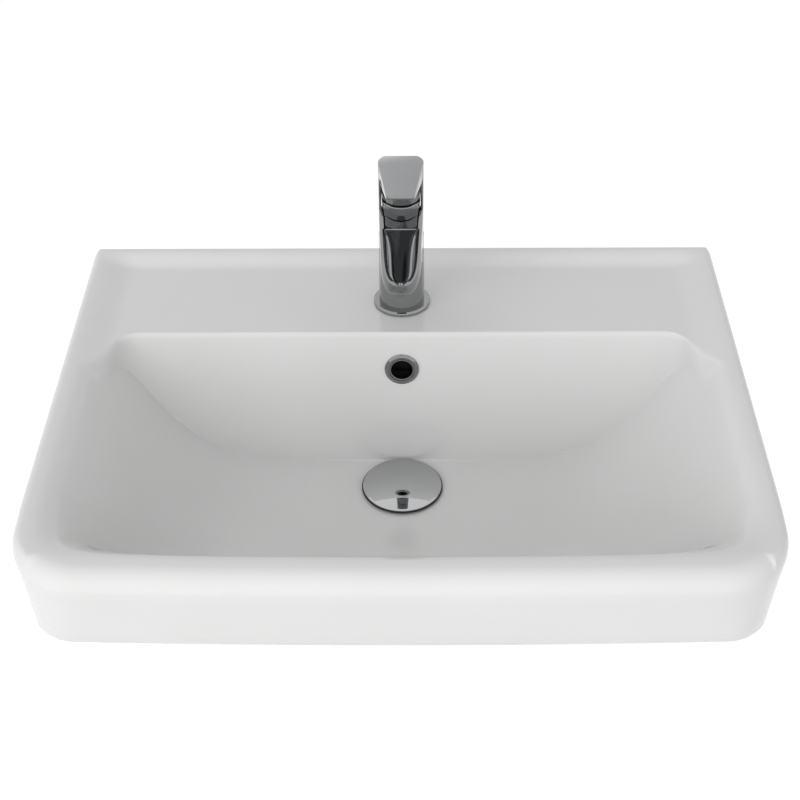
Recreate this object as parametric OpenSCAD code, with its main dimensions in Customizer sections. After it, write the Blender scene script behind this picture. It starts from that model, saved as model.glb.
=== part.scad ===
/* [Basin] */
// Width of the basin, side to side
basin_w = 600; // [520:5:700]
// Depth from the wall to the front corners
basin_d = 450; // [420:5:500]
// How far the middle of the front bows out past its corners
front_bow = 5; // [0:0.5:12]
// Height of the rim above the wall bolts
rim_z = 100; // [95:1:120]
// Visible height of the apron
apron_h = 86; // [70:1:95]
// How far the apron draws in between rim and lower edge
apron_draft = 8; // [2:0.5:12]
// Thickness of the ceramic wall
wall_t = 10; // [8:0.5:12]
// Plan radius of the front corners
front_corner_r = 38; // [30:1:55]
// Plan radius of the back corners
back_corner_r = 6; // [5:0.5:9]
// Rounding of the rim's outer edge
rim_r = 8; // [6:0.5:9]
// Rounding of the back lip's edge
lip_r = 3; // [2:0.5:4]
// Height of the back flange below the rim
flange_h = 165; // [155:1:180]

/* [Shelf] */
// Depth of the shelf and lip from the wall to the bowl
shelf_d = 131; // [125:1:140]
// Drop of the shelf below the rim
shelf_drop = 9; // [6:0.5:12]
// Distance from the wall where the lip's slope meets the shelf
lip_foot = 26; // [20:1:30]
// Width of the soft slope between side rim and shelf
shelf_side = 42; // [30:1:55]

/* [Bowl] */
// Depth of the bowl's floor at the waste, below the rim
bowl_depth = 150; // [140:1:158]
// Fall of the floor towards the waste, per mm
floor_fall = 0.03; // [0.02:0.005:0.07]
// Reach of the side slopes: two thirds of their fall lies within it
side_reach = 66; // [58:1:76]
// Reach of the front slope: two thirds of its fall lies within it
front_reach = 50; // [42:1:64]
// Flat width of the side rims
side_rim = 15; // [10:1:20]
// Flat width of the front rim
front_rim = 24; // [18:1:30]
// Lean of the back wall, per mm of height
wall_lean = 0.1; // [0.07:0.005:0.14]
// Plan radius of the bowl's back corners
bowl_corner_r = 24; // [18:1:30]

/* [Holes] */
// Distance of the tap hole from the bowl's back edge
tap_gap = 51; // [48:0.5:54]
// Diameter of the tap hole
tap_hole_d = 35; // [34:0.5:36]
// Thickness of the deck at the tap hole
deck_t = 16; // [14:0.5:18]
// Diameter of the overflow hole
overflow_d = 24; // [22:0.5:26]
// Height of the overflow below the rim
overflow_drop = 47; // [44:0.5:50]
// Distance of the waste from the wall
waste_back = 184; // [182:0.5:195]
// Diameter of the waste hole
waste_hole_d = 45; // [44:0.5:47]
// Thickness of the ceramic at the waste, with its overflow chamber
waste_boss_h = 33; // [30:0.5:36]
// Spacing of the two wall bolts
bolt_gap = 280; // [240:5:320]
// Diameter of the wall bolt holes
bolt_hole_d = 14; // [12:0.5:16]

/* [Mixer] */
// Diameter of the mixer body at the deck
body_d = 42; // [41:0.25:44]
// Diameter of the mixer body at its top
body_top_d = 40.4; // [40:0.1:41]
// Height of the mixer body above the deck
body_h = 104; // [102:0.5:110]
// Diameter of the base ring
base_ring_d = 52.4; // [48:0.2:56]
// Height of the base ring above the deck
base_ring_h = 4.3; // [3.5:0.1:5]
// Reach of the spout from the mixer's axis
spout_reach = 104.5; // [98:0.5:110]
// Height of the spout's lip above the deck
spout_lip_z = 88; // [86:0.5:92]
// Width of the flat edge round the end of the spout's channel
spout_edge = 4.5; // [3:0.1:6]
// Width of the spout's channel at its start
channel_start_w = 26; // [20:0.5:28]
// Diameter of the aerator
aerator_d = 16.4; // [15:0.1:17]
// Distance of the aerator from the mixer's axis
aerator_reach = 86; // [83:0.5:88]
// Diameter of the two inlet ports
inlet_d = 10; // [9:0.1:10]
// Diameter of the cartridge
cartridge_d = 30; // [29:0.1:30.5]

/* [Lever] */
// Height of the lever's top at its back edge, above the mixer body
lever_back_h = 42.6; // [41:0.2:46]
// Distance of that back edge behind the mixer's axis
lever_back_y = 14; // [12:0.5:16]
// Reach of the lever plate from the mixer's axis
lever_reach = 72; // [60:0.5:85]
// Rise of the lever plate towards the front, in degrees
lever_rise = 6.8; // [4:0.2:10]
// Width of the lever plate at its front edge
lever_tip_w = 24; // [20:0.5:30]
// Thickness of the lever plate at its front edge
lever_tip_t = 3; // [2.5:0.1:4]
// Greatest tilt of the lever, in degrees
tilt_max = 25; // [20:0.5:25]

/* [Waste] */
// Outer diameter of the waste tail, G 1 1/4
tail_d = 41.9; // [41:0.1:42]
// Length of the waste body below its flange
tail_l = 82; // [76:1:100]
// Diameter of the waste flange
waste_flange_d = 65; // [62:0.5:66]
// Diameter of the plug cap
cap_d = 74; // [68:0.5:76]
// Rise of the plug cap's dome
cap_rise = 4.7; // [3:0.1:6]
// Travel of the plug when it opens
plug_travel = 9; // [6:0.5:10]

/* [Hidden] */
$fn = 96;

glaze = [0.93, 0.93, 0.92];
chrome = [0.75, 0.77, 0.79];
brass = [0.78, 0.65, 0.35];
rubber = [0.15, 0.15, 0.16];
plastic = [0.88, 0.88, 0.85];
disc_grey = [0.62, 0.62, 0.66];
steel = [0.6, 0.61, 0.63];

eps = 0.01;
// Running fit between turning or sliding pieces, on the radius
run_gap = 0.05;
// Gap round a seated piece, on the radius
seat_gap = 0.1;
// Gap between a soft piece and what it nearly touches
soft_gap = 0.3;

half_w = basin_w / 2;
tap_back = shelf_d - tap_gap;
washer_r = 22;

// Smooth steps and blends for the ceramic's one height function
function soft(u) = let (c = min(max(u, 0), 1)) c * c * (3 - 2 * c);
function ramp(v, a, b) = soft((v - a) / (b - a));
function sink(v, from, reach, power) = v <= from ? 0 : 1 - exp(-pow((v - from) / reach, power));
function blend_max(a, b, k) = let (h = max(k - abs(a - b), 0) / k) max(a, b) + h * h * k / 4;
function blend_min(a, b, k) = -blend_max(-a, -b, k);

lip_flat = 6;
pan_side = 4;
pan_front = 14;
pan_front_foot = 44;
shelf_edge_soft = 10;
crease_soft = 5;
corner_start = 62;
end_lean = 2;
end_from = 44;
end_run = 16;
turn_max = 38;
side_power = 1.64;
front_power = 1.9;
side_foot = side_rim + 2 * side_reach;
front_foot = front_rim + 2 * front_reach;
floor_flat_r = 32;

function side_in(x) = half_w - abs(x);
function bow(x) = front_bow * (1 - (x / half_w) * (x / half_w));
function front_in(x, y) = basin_d + bow(x) + y;

// Height of the shallow pan that holds the shelf, g wider on every side
function pan(x, y, g) = -shelf_drop * ramp(side_in(x) + g, pan_side, shelf_side)
    * ramp(g - y, lip_flat, lip_foot) * ramp(front_in(x, y) + g, pan_front, pan_front_foot);

// Further drop of the dished floor below the pan
function dish(x, y, g) = let (r = norm([x, y + waste_back]))
    -(bowl_depth - shelf_drop - floor_fall * max(r - floor_flat_r, 0))
    * sink(side_in(x) + g, side_rim, side_reach, side_power)
    * sink(front_in(x, y) + g, front_rim, front_reach, front_power);

// How far the back wall turns forwards at a distance in from the side: an arc, then a straight line
function corner_shift(side) = let (s = max(corner_start - side, 0), t = min(s / bowl_corner_r, 0.92))
    bowl_corner_r * (1 - sqrt(1 - t * t)) + 2.347 * max(s - 0.92 * bowl_corner_r, 0);

// Height of the bowl's back wall, which leans back a little, and more where its ends fade out
function back_wall(x, y, g) = let (side = side_in(x) + g)
    -shelf_drop - (g - y - shelf_d - corner_shift(side))
    / (wall_lean + end_lean * ramp(end_from - side, 0, end_run));

// Height of the inner face below the rim; g above 0 gives a wider copy
function inner_z(x, y, g = 0) = let (p = pan(x, y, g), d = dish(x, y, g))
    blend_max(p + d, blend_min(p, back_wall(x, y, g), shelf_edge_soft * ramp(-d, -1, 40)),
        crease_soft * ramp(-d, -1, 30));
function underside(x, y) = inner_z(x, y, wall_t) - wall_t;

// Grid lines in from one edge, over the slope and then evenly to the middle
slope_steps = [0, 0.08, 0.17, 0.23, 0.29, 0.4, 0.53, 0.67, 0.82, 1];
function x_half(inset, foot) = concat([for (s = slope_steps) half_w - inset - s * (foot - inset)],
    [for (s = [0.75, 0.5, 0.25]) s * (half_w - foot)]);
function x_lines(inset, foot) = let (h = x_half(inset, foot))
    concat([for (v = h) -v], [0], [for (i = [len(h) - 1:-1:0]) h[i]]);
wall_foot = (bowl_depth - shelf_drop) * wall_lean;
wall_steps = [-0.5, -0.25, -0.08, 0.03, 0.12, 0.21, 0.3, 0.4, 0.5, 0.6, 0.7, 0.8, 0.9, 0.98, 1.06, 1.2,
    1.6, 2.2];
floor_step = 40;
turn_fade = 150;
function y_lines(back, front, g) = let (
        floor_from = shelf_d - g + floor_step,
        floor_to = basin_d - front_foot + g,
        tail = basin_d - front)
    concat([for (s = [0, 0.2, 0.4, 0.6, 0.8, 1]) -(back + s * (lip_foot + 2 - back))],
        [for (s = [0.33, 0.67]) -(lip_foot + 2 + s * (shelf_d - lip_foot - 10))],
        [for (s = wall_steps) -(shelf_d - g + s * wall_foot)],
        [for (s = [0, 0.25, 0.5, 0.75]) -(floor_from + s * (floor_to - floor_from))],
        [for (s = [len(slope_steps) - 1:-1:0]) -(tail - slope_steps[s] * (tail - floor_to))]);

// Turns the square corner of a grid into a round one with the same offsets
function round_corner(x, y) = let (
        fx = abs(x) - (half_w - front_corner_r), fy = -y - (basin_d - front_corner_r),
        bx = abs(x) - (half_w - back_corner_r), by = y + back_corner_r,
        f = fx > 0 && fy > 0 ? max(fx, fy) / norm([fx, fy]) : 1,
        b = bx > 0 && by > 0 ? max(bx, by) / norm([bx, by]) : 1)
    f < 1 ? [sign(x) * (abs(x) - fx * (1 - f)), y + fy * (1 - f)]
    : b < 1 ? [sign(x) * (abs(x) - bx * (1 - b)), y - by * (1 - b)] : [x, y];
function bowed(x, y) = let (p = round_corner(x, y))
    [p[0], p[1] - bow(p[0]) * ramp(-p[1], basin_d / 2, basin_d)];
// Moves grid points with the ends of the back wall, which turn forwards, g as for inner_z
function turned(x, y, g) = let (
        near = ramp(-y, lip_foot + 4, shelf_d - g - 8)
            * (1 - ramp(-y, shelf_d - g + floor_step, shelf_d - g + turn_fade)))
    bowed(x, y - min(corner_shift(side_in(x) + g), turn_max) * near);

top_x = x_lines(rim_r, side_foot);
top_y = y_lines(lip_r, rim_r, 0);
low_x = x_lines(wall_t, side_foot - wall_t);
low_y = y_lines(wall_t + 2, wall_t, wall_t);
nx = len(top_x);
ny = len(top_y);

// The grid's border as index pairs, once round
border = concat([for (i = [0:nx - 2]) [i, 0]], [for (j = [0:ny - 2]) [nx - 1, j]],
    [for (i = [nx - 1:-1:1]) [i, ny - 1]], [for (j = [ny - 1:-1:1]) [0, j]]);
ring_n = len(border);

// One ring of the edge: in from the outline by side, back and front, at a depth below the rim
function ring(in_side, in_back, in_front, depth_at, share) = [for (b = border) let (
        tx = top_x[b[0]], ty = top_y[b[1]],
        x = tx * (half_w - in_side) / (half_w - rim_r),
        y = -in_back + (ty + lip_r) * (basin_d - in_front - in_back) / (basin_d - rim_r - lip_r),
        p = turned(x, y, 0), drop = depth_at == 0 ? rim_r * share : lower_edge(p[1]) - depth_at,
        k = 1 - apron_draft * max(drop - rim_r, 0) / (apron_h - rim_r) / half_w)
    [p[0] * k, p[1] * k, -drop]];
// Depth of the apron's lower edge: deeper at the wall, where the back flange is
flange_fade = 75;
function lower_edge(y) = apron_h + (flange_h - apron_h) * (1 - ramp(-y, rim_r, flange_fade));

edge_steps = [30, 60, 90];
foot_r = 3;
rings = concat(
    [for (a = edge_steps) let (s = 1 - sin(a)) ring(rim_r * s, lip_r * s, rim_r * s, 0, 1 - cos(a))],
    [ring(0, 0, 0, foot_r, 0), ring(foot_r, foot_r, foot_r, eps, 0),
     ring(wall_t - foot_r, wall_t + 2 - foot_r, wall_t - foot_r, eps, 0),
     ring(wall_t, wall_t + 2, wall_t, foot_r, 0)]);

top_points = [for (j = [0:ny - 1], i = [0:nx - 1]) let (p = turned(top_x[i], top_y[j], 0))
    [p[0], p[1], inner_z(p[0], p[1])]];
low_points = [for (j = [0:ny - 1], i = [0:nx - 1]) let (p = turned(low_x[i], low_y[j], wall_t))
    [p[0], p[1], underside(p[0], p[1])]];
shell_points = concat(top_points, [for (r = rings, p = r) p], low_points);
grid_n = nx * ny;
low_base = grid_n + ring_n * len(rings);

function top_id(i, j) = j * nx + i;
function low_id(i, j) = low_base + j * nx + i;
// Border point k of level l: the top grid, each ring, then the lower grid
function level_id(l, k) = let (b = border[k % ring_n])
    l == 0 ? top_id(b[0], b[1]) : l <= len(rings) ? grid_n + (l - 1) * ring_n + k % ring_n
    : low_id(b[0], b[1]);
top_faces = [for (j = [0:ny - 2], i = [0:nx - 2], h = [0, 1])
    h == 0 ? [top_id(i, j), top_id(i + 1, j), top_id(i + 1, j + 1)]
    : [top_id(i, j), top_id(i + 1, j + 1), top_id(i, j + 1)]];
low_faces = [for (j = [0:ny - 2], i = [0:nx - 2], h = [0, 1])
    h == 0 ? [low_id(i, j), low_id(i + 1, j + 1), low_id(i + 1, j)]
    : [low_id(i, j), low_id(i, j + 1), low_id(i + 1, j + 1)]];
side_faces = [for (l = [0:len(rings)], k = [0:ring_n - 1], h = [0, 1])
    h == 0 ? [level_id(l, k), level_id(l + 1, k), level_id(l + 1, k + 1)]
    : [level_id(l, k), level_id(l + 1, k + 1), level_id(l, k + 1)]];

// Levels at the waste, below the rim
seat_recess = 2;
seat_z = -bowl_depth - seat_recess;
boss_z = seat_z - waste_boss_h;
flange_recess_r = waste_flange_d / 2 + 1;
boss_r = 42;
chamber_top = seat_z - wall_t;
chamber_floor = boss_z + wall_t + 1;
duct_w = 60;
channel_w = 44;
duct_back = tap_back + washer_r + 2;
duct_wall = 8;
duct_foot = 30;
duct_foot_h = 38;
channel_foot = 30;
channel_foot_h = 32;
tap_boss_r = 32;

overflow_ring_r = 15.5;
overflow_bore_r = 10;
overflow_lean = atan(wall_lean);
overflow_y = -(shelf_d + wall_lean * (overflow_drop - shelf_drop));

module at_tap() {
    translate([0, -tap_back, rim_z - shelf_drop]) children();
}

module at_waste() {
    translate([0, -waste_back, rim_z]) children();
}

// Axis out of the wall, towards the front and a little up
module at_overflow() {
    translate([0, overflow_y, rim_z - overflow_drop]) rotate([90 - overflow_lean, 0, 0]) children();
}

// Extrudes an outline of [y, z] points along X, centred
module along_x(w) {
    rotate([90, 0, 90]) linear_extrude(height = w, center = true) children();
}

module ring_solid(r_out, r_in, z0, z1) {
    translate([0, 0, z0]) difference() {
        cylinder(r = r_out, h = z1 - z0);
        translate([0, 0, -1]) cylinder(r = r_in, h = z1 - z0 + 2);
    }
}

module basin_shell() {
    polyhedron(points = shell_points, faces = concat(top_faces, side_faces, low_faces), convexity = 10);
}

// Outline under the bowl's back wall and floor, g into the ceramic, from step a on
duct_steps = [0.25, 0.4, 0.6, 0.8, 0.9, 0.97, 1.05, 1.2, 1.6, 2.2];
function under_bowl(g, y_end) = concat(
    [for (s = duct_steps) let (y = -(shelf_d - g + s * wall_foot)) [y, inner_z(0, y, g) - g]],
    [[y_end, inner_z(0, y_end, g) - g]]);

module duct_outer() {
    along_x(duct_w) polygon(concat(
        [[-duct_back, -overflow_drop + overflow_d / 2 + 4]], under_bowl(wall_t / 2, -waste_back),
        [[-waste_back, boss_z], [-duct_back - duct_foot, boss_z], [-duct_back, boss_z + duct_foot_h]]));
}

module duct_channel() {
    along_x(channel_w) polygon(concat(
        [[-duct_back - duct_wall, -overflow_drop + overflow_d / 2]],
        under_bowl(wall_t - 1, -waste_back + 15),
        [[-waste_back + 15, chamber_floor], [-duct_back - channel_foot, chamber_floor],
         [-duct_back - duct_wall, chamber_floor + channel_foot_h]]));
}

module basin_ceramic() {
    color(glaze) difference() {
        union() {
            translate([0, 0, rim_z]) basin_shell();
            translate([0, 0, rim_z]) duct_outer();
            at_waste() translate([0, 0, boss_z]) cylinder(r = boss_r, h = seat_z - 1 - boss_z);
            at_tap() translate([0, 0, -deck_t]) cylinder(r = tap_boss_r, h = deck_t - wall_t / 2);
        }
        translate([0, 0, rim_z]) duct_channel();
        at_waste() ring_solid(waste_hole_d / 2 + 9, waste_hole_d / 2 - 1, chamber_floor, chamber_top);
        at_waste() translate([0, 0, boss_z - 1]) cylinder(d = waste_hole_d, h = waste_boss_h + 20);
        at_waste() translate([0, 0, seat_z]) cylinder(r = flange_recess_r, h = 20);
        at_tap() translate([0, 0, -deck_t - 1]) cylinder(d = tap_hole_d, h = deck_t + 20);
        at_overflow() translate([0, 0, -17]) cylinder(d = overflow_d, h = 30);
        at_overflow() cylinder(r = overflow_ring_r + seat_gap, h = 10);
        for (side = [-1, 1]) translate([side * bolt_gap / 2, 1, 0])
            rotate([90, 0, 0]) cylinder(d = bolt_hole_d, h = wall_t + 6);
    }
}

module overflow_ring() {
    color(chrome) at_overflow() rotate_extrude() polygon([
        [overflow_bore_r, -12], [overflow_bore_r + 1, -12], [overflow_bore_r + 1, soft_gap],
        [overflow_ring_r, soft_gap], [overflow_ring_r, 1.2],
        for (a = [15:15:90]) [overflow_ring_r - 2.2 * (1 - cos(a)), 1.2 + 1.5 * sin(a)],
        [overflow_bore_r + 1, 2.7], [overflow_bore_r, 2]]);
}

module overflow_sleeve() {
    color(rubber) at_overflow() ring_solid(overflow_d / 2 - seat_gap, overflow_bore_r + 1, -9, -1.5);
}

// Waste levels, below the rim
flange_seal_t = 1.2;
waste_flange_t = 2.5;
flange_low = seat_z + flange_seal_t;
flange_top = flange_low + waste_flange_t;
tail_r = tail_d / 2;
tail_bore_r = 17.8;
tail_low = flange_low - tail_l;
hub_top = flange_top - 8.7;
hub_r = 9;
hub_h = 12;
leg_w = 3;
leg_h = 8;
slot_w = 9;
latch_r = 6;
spindle_r = 3;
latch_bore_r = 4.1;
latch_low = hub_top - 26;
latch_floor = latch_low + 1.5;
latch_lip = 1.8;
lower_seal_t = 5;
slip_t = 1.5;
nut_t = 10.5;
nut_top = boss_z - lower_seal_t - slip_t;
relief_w = 2;
relief_top = nut_top - nut_t - 1;
relief_depth = 0.8;

module waste_body() {
    color(chrome) at_waste() difference() {
        union() {
            translate([0, 0, flange_low]) cylinder(d = waste_flange_d, h = waste_flange_t);
            translate([0, 0, tail_low]) cylinder(r = tail_r, h = tail_l + eps);
        }
        difference() {
            translate([0, 0, tail_low - 1]) cylinder(r = tail_bore_r, h = tail_l + waste_flange_t + 2);
            translate([0, 0, hub_top - hub_h]) cylinder(r = hub_r, h = hub_h);
            for (a = [90:120:330]) rotate([0, 0, a]) translate([0, -leg_w / 2, hub_top - leg_h])
                cube([tail_bore_r + 1, leg_w, leg_h]);
        }
        translate([0, 0, hub_top - hub_h - 1]) cylinder(r = latch_r + seat_gap, h = hub_h + 2);
        ring_solid(tail_r + 1, tail_r - relief_depth, relief_top - relief_w, relief_top);
        for (a = [0:90:270]) rotate([0, 0, a]) translate([tail_bore_r - 1, -slot_w / 2, chamber_floor])
            cube([6, slot_w, chamber_top - chamber_floor]);
    }
}

module waste_flange_seal() {
    color(rubber) at_waste() ring_solid(waste_flange_d / 2 - 1.5, waste_hole_d / 2 + 0.5, seat_z, flange_low);
}

lower_seal_r = 34;
slip_r = 33;
nut_hex_r = 30;
nut_flange_r = 31;
nut_flange_t = 3;

module waste_lower_seal() {
    color(rubber) at_waste() ring_solid(lower_seal_r, tail_r + soft_gap, boss_z - lower_seal_t, boss_z);
}

module waste_slip_washer() {
    color(plastic) at_waste() ring_solid(slip_r, tail_r + soft_gap, nut_top, nut_top + slip_t);
}

module waste_backnut() {
    color(brass) at_waste() difference() {
        union() {
            translate([0, 0, nut_top - nut_t]) cylinder(r = nut_hex_r, h = nut_t - nut_flange_t, $fn = 6);
            translate([0, 0, nut_top - nut_flange_t]) cylinder(r = nut_flange_r, h = nut_flange_t);
        }
        translate([0, 0, nut_top - nut_t - 1]) cylinder(r = tail_r + seat_gap, h = nut_t + 2);
    }
}

plug_seal_t = 0.7;
cap_low = flange_top + soft_gap + plug_seal_t;
cap_edge = 1.8;
cap_r = cap_d / 2;
dome_r = (cap_r * cap_r + cap_rise * cap_rise) / (2 * cap_rise);
dome_a = asin(cap_r / dome_r);
spindle_drop = 18;
spindle_low = hub_top - spindle_drop;
seal_stand = 0.9;
plug_seal_bore_r = 22;
cap_boss_h = 3.9;
cap_boss_r = 6.5;
spindle_head_h = 3;

module plug_cap() {
    color(chrome) at_waste() difference() {
        union() {
            translate([0, 0, cap_low]) rotate_extrude() polygon([
                [0, 0], [cap_r - 0.6, 0], [cap_r, 0.6],
                for (k = [8:-1:0]) [dome_r * sin(dome_a * k / 8),
                    cap_edge + cap_rise - dome_r * (1 - cos(dome_a * k / 8))]]);
            translate([0, 0, cap_low - cap_boss_h]) cylinder(r = cap_boss_r, h = cap_boss_h + eps);
        }
        translate([0, 0, cap_low - cap_boss_h - 1]) cylinder(r = spindle_r + run_gap, h = cap_boss_h + 2.6);
    }
}

module plug_seal() {
    color(rubber) at_waste() ring_solid(cap_r + seal_stand, plug_seal_bore_r, cap_low - plug_seal_t, cap_low);
}

module plug_spindle() {
    color(brass) at_waste() union() {
        translate([0, 0, spindle_low]) cylinder(r = spindle_r, h = cap_low + 1.4 - spindle_low);
        translate([0, 0, spindle_low]) cylinder(r = latch_bore_r - run_gap, h = spindle_head_h);
    }
}

module latch_housing() {
    color(brass) at_waste() difference() {
        union() {
            translate([0, 0, latch_low]) cylinder(r = latch_r, h = hub_top - latch_low + eps);
            translate([0, 0, hub_top]) cylinder(r = latch_r + 2, h = latch_lip);
        }
        translate([0, 0, latch_floor]) cylinder(r = latch_bore_r, h = hub_top - latch_floor);
        translate([0, 0, latch_floor])
            cylinder(r = spindle_r + run_gap, h = hub_top - latch_floor + latch_lip + 1);
    }
}

module latch_spring() {
    color(steel) at_waste() ring_solid(3.6, 2.6, latch_floor, spindle_low);
}

// Mixer levels, above the deck
gasket_t = 0.8;
spigot_r = 16.4;
spigot_l = 8;
cart_r = cartridge_d / 2;
cart_h = 32;
ring_nut_h = 6;
cart_top = body_h - ring_nut_h;
cart_low = cart_top - cart_h;
port_h = 16;
disc_z = cart_low + port_h;
fixed_disc_t = 3;
moving_disc_t = 4;
pivot_z = cart_top - 1;
rotor_low = disc_z + fixed_disc_t + moving_disc_t + soft_gap;
cavity_r = cart_r - 1.7;
neck_r = cavity_r - 1.8;
lip_t = 1.8;
nut_r = cart_r + 2;
port_x = 7;
port_y = 3.5;
port_r = 2.6;
port_seal_t = 0.8;
pin_r = 1.5;
stem_w = 8;
finger_r = 2.5;
finger_low = disc_z + fixed_disc_t + 1.8;
stem_low = pivot_z - 6;
stem_top = body_h + 23;

inlet_l = 28;
stud_hole_l = 22;
outlet_face_drop = 12.5;
spout_root_w = body_top_d / 2 - 0.2;
spout_end_t = 5;
outlet_face_z = spout_lip_z - outlet_face_drop;
outlet_bore_top = outlet_face_z + 8.5;
way_r = 2.5;
way_z0 = cart_low + 12;
way_z1 = outlet_bore_top - 2.4;
way_rise = atan((way_z1 - way_z0) / (aerator_reach - cart_r));

tongue_taper = 0.04;
tongue_power = 9;
channel_power = 6;
scoop_depth = 4.6;
scoop_step = 0.8;
channel_from = 34;
top_from = nut_r + 0.2;
top_fall = (body_h - spout_lip_z) / (spout_reach - top_from);
// Plan of a tongue with a rounded end, half wide at the axis and tapering a little, in [x, -y]
function tongue_side(reach, half, taper, power) = [for (a = [0:5:90]) let (q = reach * sin(a))
    [(half - taper * q) * sqrt(1 - pow(sin(a), power)), -q]];
function tongue(reach, half, taper, power) = let (side = tongue_side(reach, half, taper, power))
    concat(side, [for (i = [len(side) - 2:-1:0]) [-side[i][0], side[i][1]]]);
function channel_z(q) = let (u = (q - channel_from) / (spout_reach - channel_from))
    body_h - top_fall * (q - top_from) - scoop_depth * sin(180 * pow(u, 0.8)) - scoop_step;

module spout() {
    difference() {
        intersection() {
            linear_extrude(height = body_h + 5)
                polygon(tongue(spout_reach, spout_root_w, tongue_taper, tongue_power));
            along_x(body_d) polygon([
                [0, body_h - eps], [-top_from, body_h - eps], [-spout_reach, spout_lip_z],
                [-spout_reach, spout_lip_z - spout_end_t],
                [-spout_reach + 6, outlet_face_z], [-aerator_reach + 8, outlet_face_z],
                [-aerator_reach + 11, outlet_face_z - 1.5], [-60, outlet_face_z - 4.5],
                [-40, outlet_face_z - 10], [-26, outlet_face_z - 16.5], [0, outlet_face_z - 27]]);
        }
        intersection() {
            translate([0, 0, spout_lip_z - 10]) linear_extrude(height = 40)
                polygon(tongue(spout_reach - spout_edge, channel_start_w / 2, tongue_taper, channel_power));
            along_x(body_d) polygon([
                for (q = [channel_from:4:spout_reach]) [-q, channel_z(q)],
                [-spout_reach - 1, body_h + 10], [-channel_from, body_h + 10]]);
        }
    }
}

module mixer_body() {
    color(chrome) at_tap() difference() {
        union() {
            translate([0, 0, base_ring_h])
                cylinder(d1 = body_d, d2 = body_top_d, h = body_h - base_ring_h);
            translate([0, 0, -spigot_l]) cylinder(r = spigot_r, h = spigot_l + base_ring_h + eps);
            spout();
        }
        along_x(body_d + 2) polygon([[-top_from, body_h], [-body_d, body_h - (body_d - top_from) * top_fall],
            [-body_d, body_h + 5], [-top_from, body_h + 5]]);
        translate([0, 0, cart_low]) cylinder(r = cart_r + seat_gap, h = cart_h + 1);
        translate([0, 0, cart_top]) cylinder(r = nut_r + seat_gap, h = ring_nut_h + 1);
        for (side = [-1, 1]) {
            translate([side * (port_x + 1), port_y + 0.5, -spigot_l - 1])
                cylinder(d = inlet_d, h = inlet_l + 1);
            translate([side * port_x, port_y, inlet_l - spigot_l - 5]) cylinder(r = port_r, h = cart_low);
            translate([side * port_x, port_y, cart_low - port_seal_t])
                cylinder(r = port_r + 1.8, h = port_seal_t + 1);
        }
        translate([0, stud_y, -spigot_l - 1]) cylinder(r = stud_r + seat_gap, h = stud_hole_l + 1);
        translate([0, -cart_r + 2, way_z0]) rotate([90 - way_rise, 0, 0])
            cylinder(r = way_r, h = aerator_reach - cart_r + 2);
        translate([0, -aerator_reach, outlet_face_z - 1])
            cylinder(d = aerator_d + 2 * seat_gap, h = outlet_bore_top - outlet_face_z + 1);
    }
}

module mixer_base_ring() {
    color(chrome) at_tap() rotate_extrude() polygon([
        [spigot_r + 0.4, gasket_t], [base_ring_d / 2, gasket_t], [base_ring_d / 2, base_ring_h - 1.7],
        [base_ring_d / 2 - 0.5, base_ring_h - 0.8], [base_ring_d / 2 - 1.6, base_ring_h],
        [spigot_r + 0.4, base_ring_h]]);
}

module mixer_base_gasket() {
    color(rubber) at_tap() ring_solid(base_ring_d / 2 - 1.2, spigot_r + 0.8, 0, gasket_t);
}

module cartridge_housing() {
    color(plastic) at_tap() difference() {
        translate([0, 0, cart_low]) cylinder(r = cart_r, h = cart_h);
        translate([0, 0, disc_z]) cylinder(r = cavity_r, h = cart_h - port_h - lip_t);
        translate([0, 0, disc_z]) cylinder(r = neck_r + run_gap, h = cart_h);
        for (side = [-1, 1]) translate([side * port_x, port_y, cart_low - 1])
            cylinder(r = port_r, h = port_h + 2);
        translate([0, -port_x, way_z0]) cylinder(r = port_r, h = disc_z - way_z0 + 1);
        translate([0, -port_x, way_z0]) rotate([90, 0, 0]) cylinder(r = way_r, h = cart_r);
    }
}

module cartridge_port_seals() {
    color(rubber) at_tap() for (side = [-1, 1]) translate([side * port_x, port_y, 0])
        ring_solid(port_r + 1.6, port_r + 0.1, cart_low - port_seal_t, cart_low);
}

module fixed_disc() {
    color(disc_grey) at_tap() difference() {
        translate([0, 0, disc_z]) cylinder(r = cavity_r - seat_gap, h = fixed_disc_t);
        for (side = [-1, 1]) translate([side * port_x, port_y, disc_z - 1]) cylinder(r = port_r - 0.2, h = 6);
        translate([0, -port_x, disc_z - 1]) cylinder(r = port_r - 0.2, h = 6);
    }
}

pocket_l = 2 * finger_r + 1.6;
finger_arm = 9;
disc_travel = finger_arm * tilt_max * PI / 180;
moving_disc_r = cavity_r - disc_travel - 0.2;

module moving_disc() {
    color(disc_grey) at_tap() difference() {
        translate([0, 0, disc_z + fixed_disc_t]) cylinder(r = moving_disc_r, h = moving_disc_t);
        translate([-finger_r - run_gap, -pocket_l / 2, disc_z + fixed_disc_t + 1.5])
            cube([2 * (finger_r + run_gap), pocket_l, moving_disc_t]);
    }
}

module cartridge_rotor() {
    color(plastic) at_tap() difference() {
        union() {
            translate([0, 0, rotor_low])
                cylinder(r = cavity_r - run_gap, h = cart_top - lip_t - seat_gap - rotor_low);
            translate([0, 0, rotor_low]) cylinder(r = neck_r, h = cart_top + 3 - rotor_low);
        }
        translate([-stem_w / 2 - run_gap, -9, rotor_low - 1]) cube([stem_w + 2 * run_gap, 15.5, 20]);
        translate([-cart_r, 0, pivot_z]) rotate([0, 90, 0]) cylinder(r = pin_r + run_gap, h = cartridge_d);
    }
}

module pivot_pin() {
    color(steel) at_tap() translate([-neck_r + 0.6, 0, pivot_z]) rotate([0, 90, 0])
        cylinder(r = pin_r, h = 2 * neck_r - 1.2);
}

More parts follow.
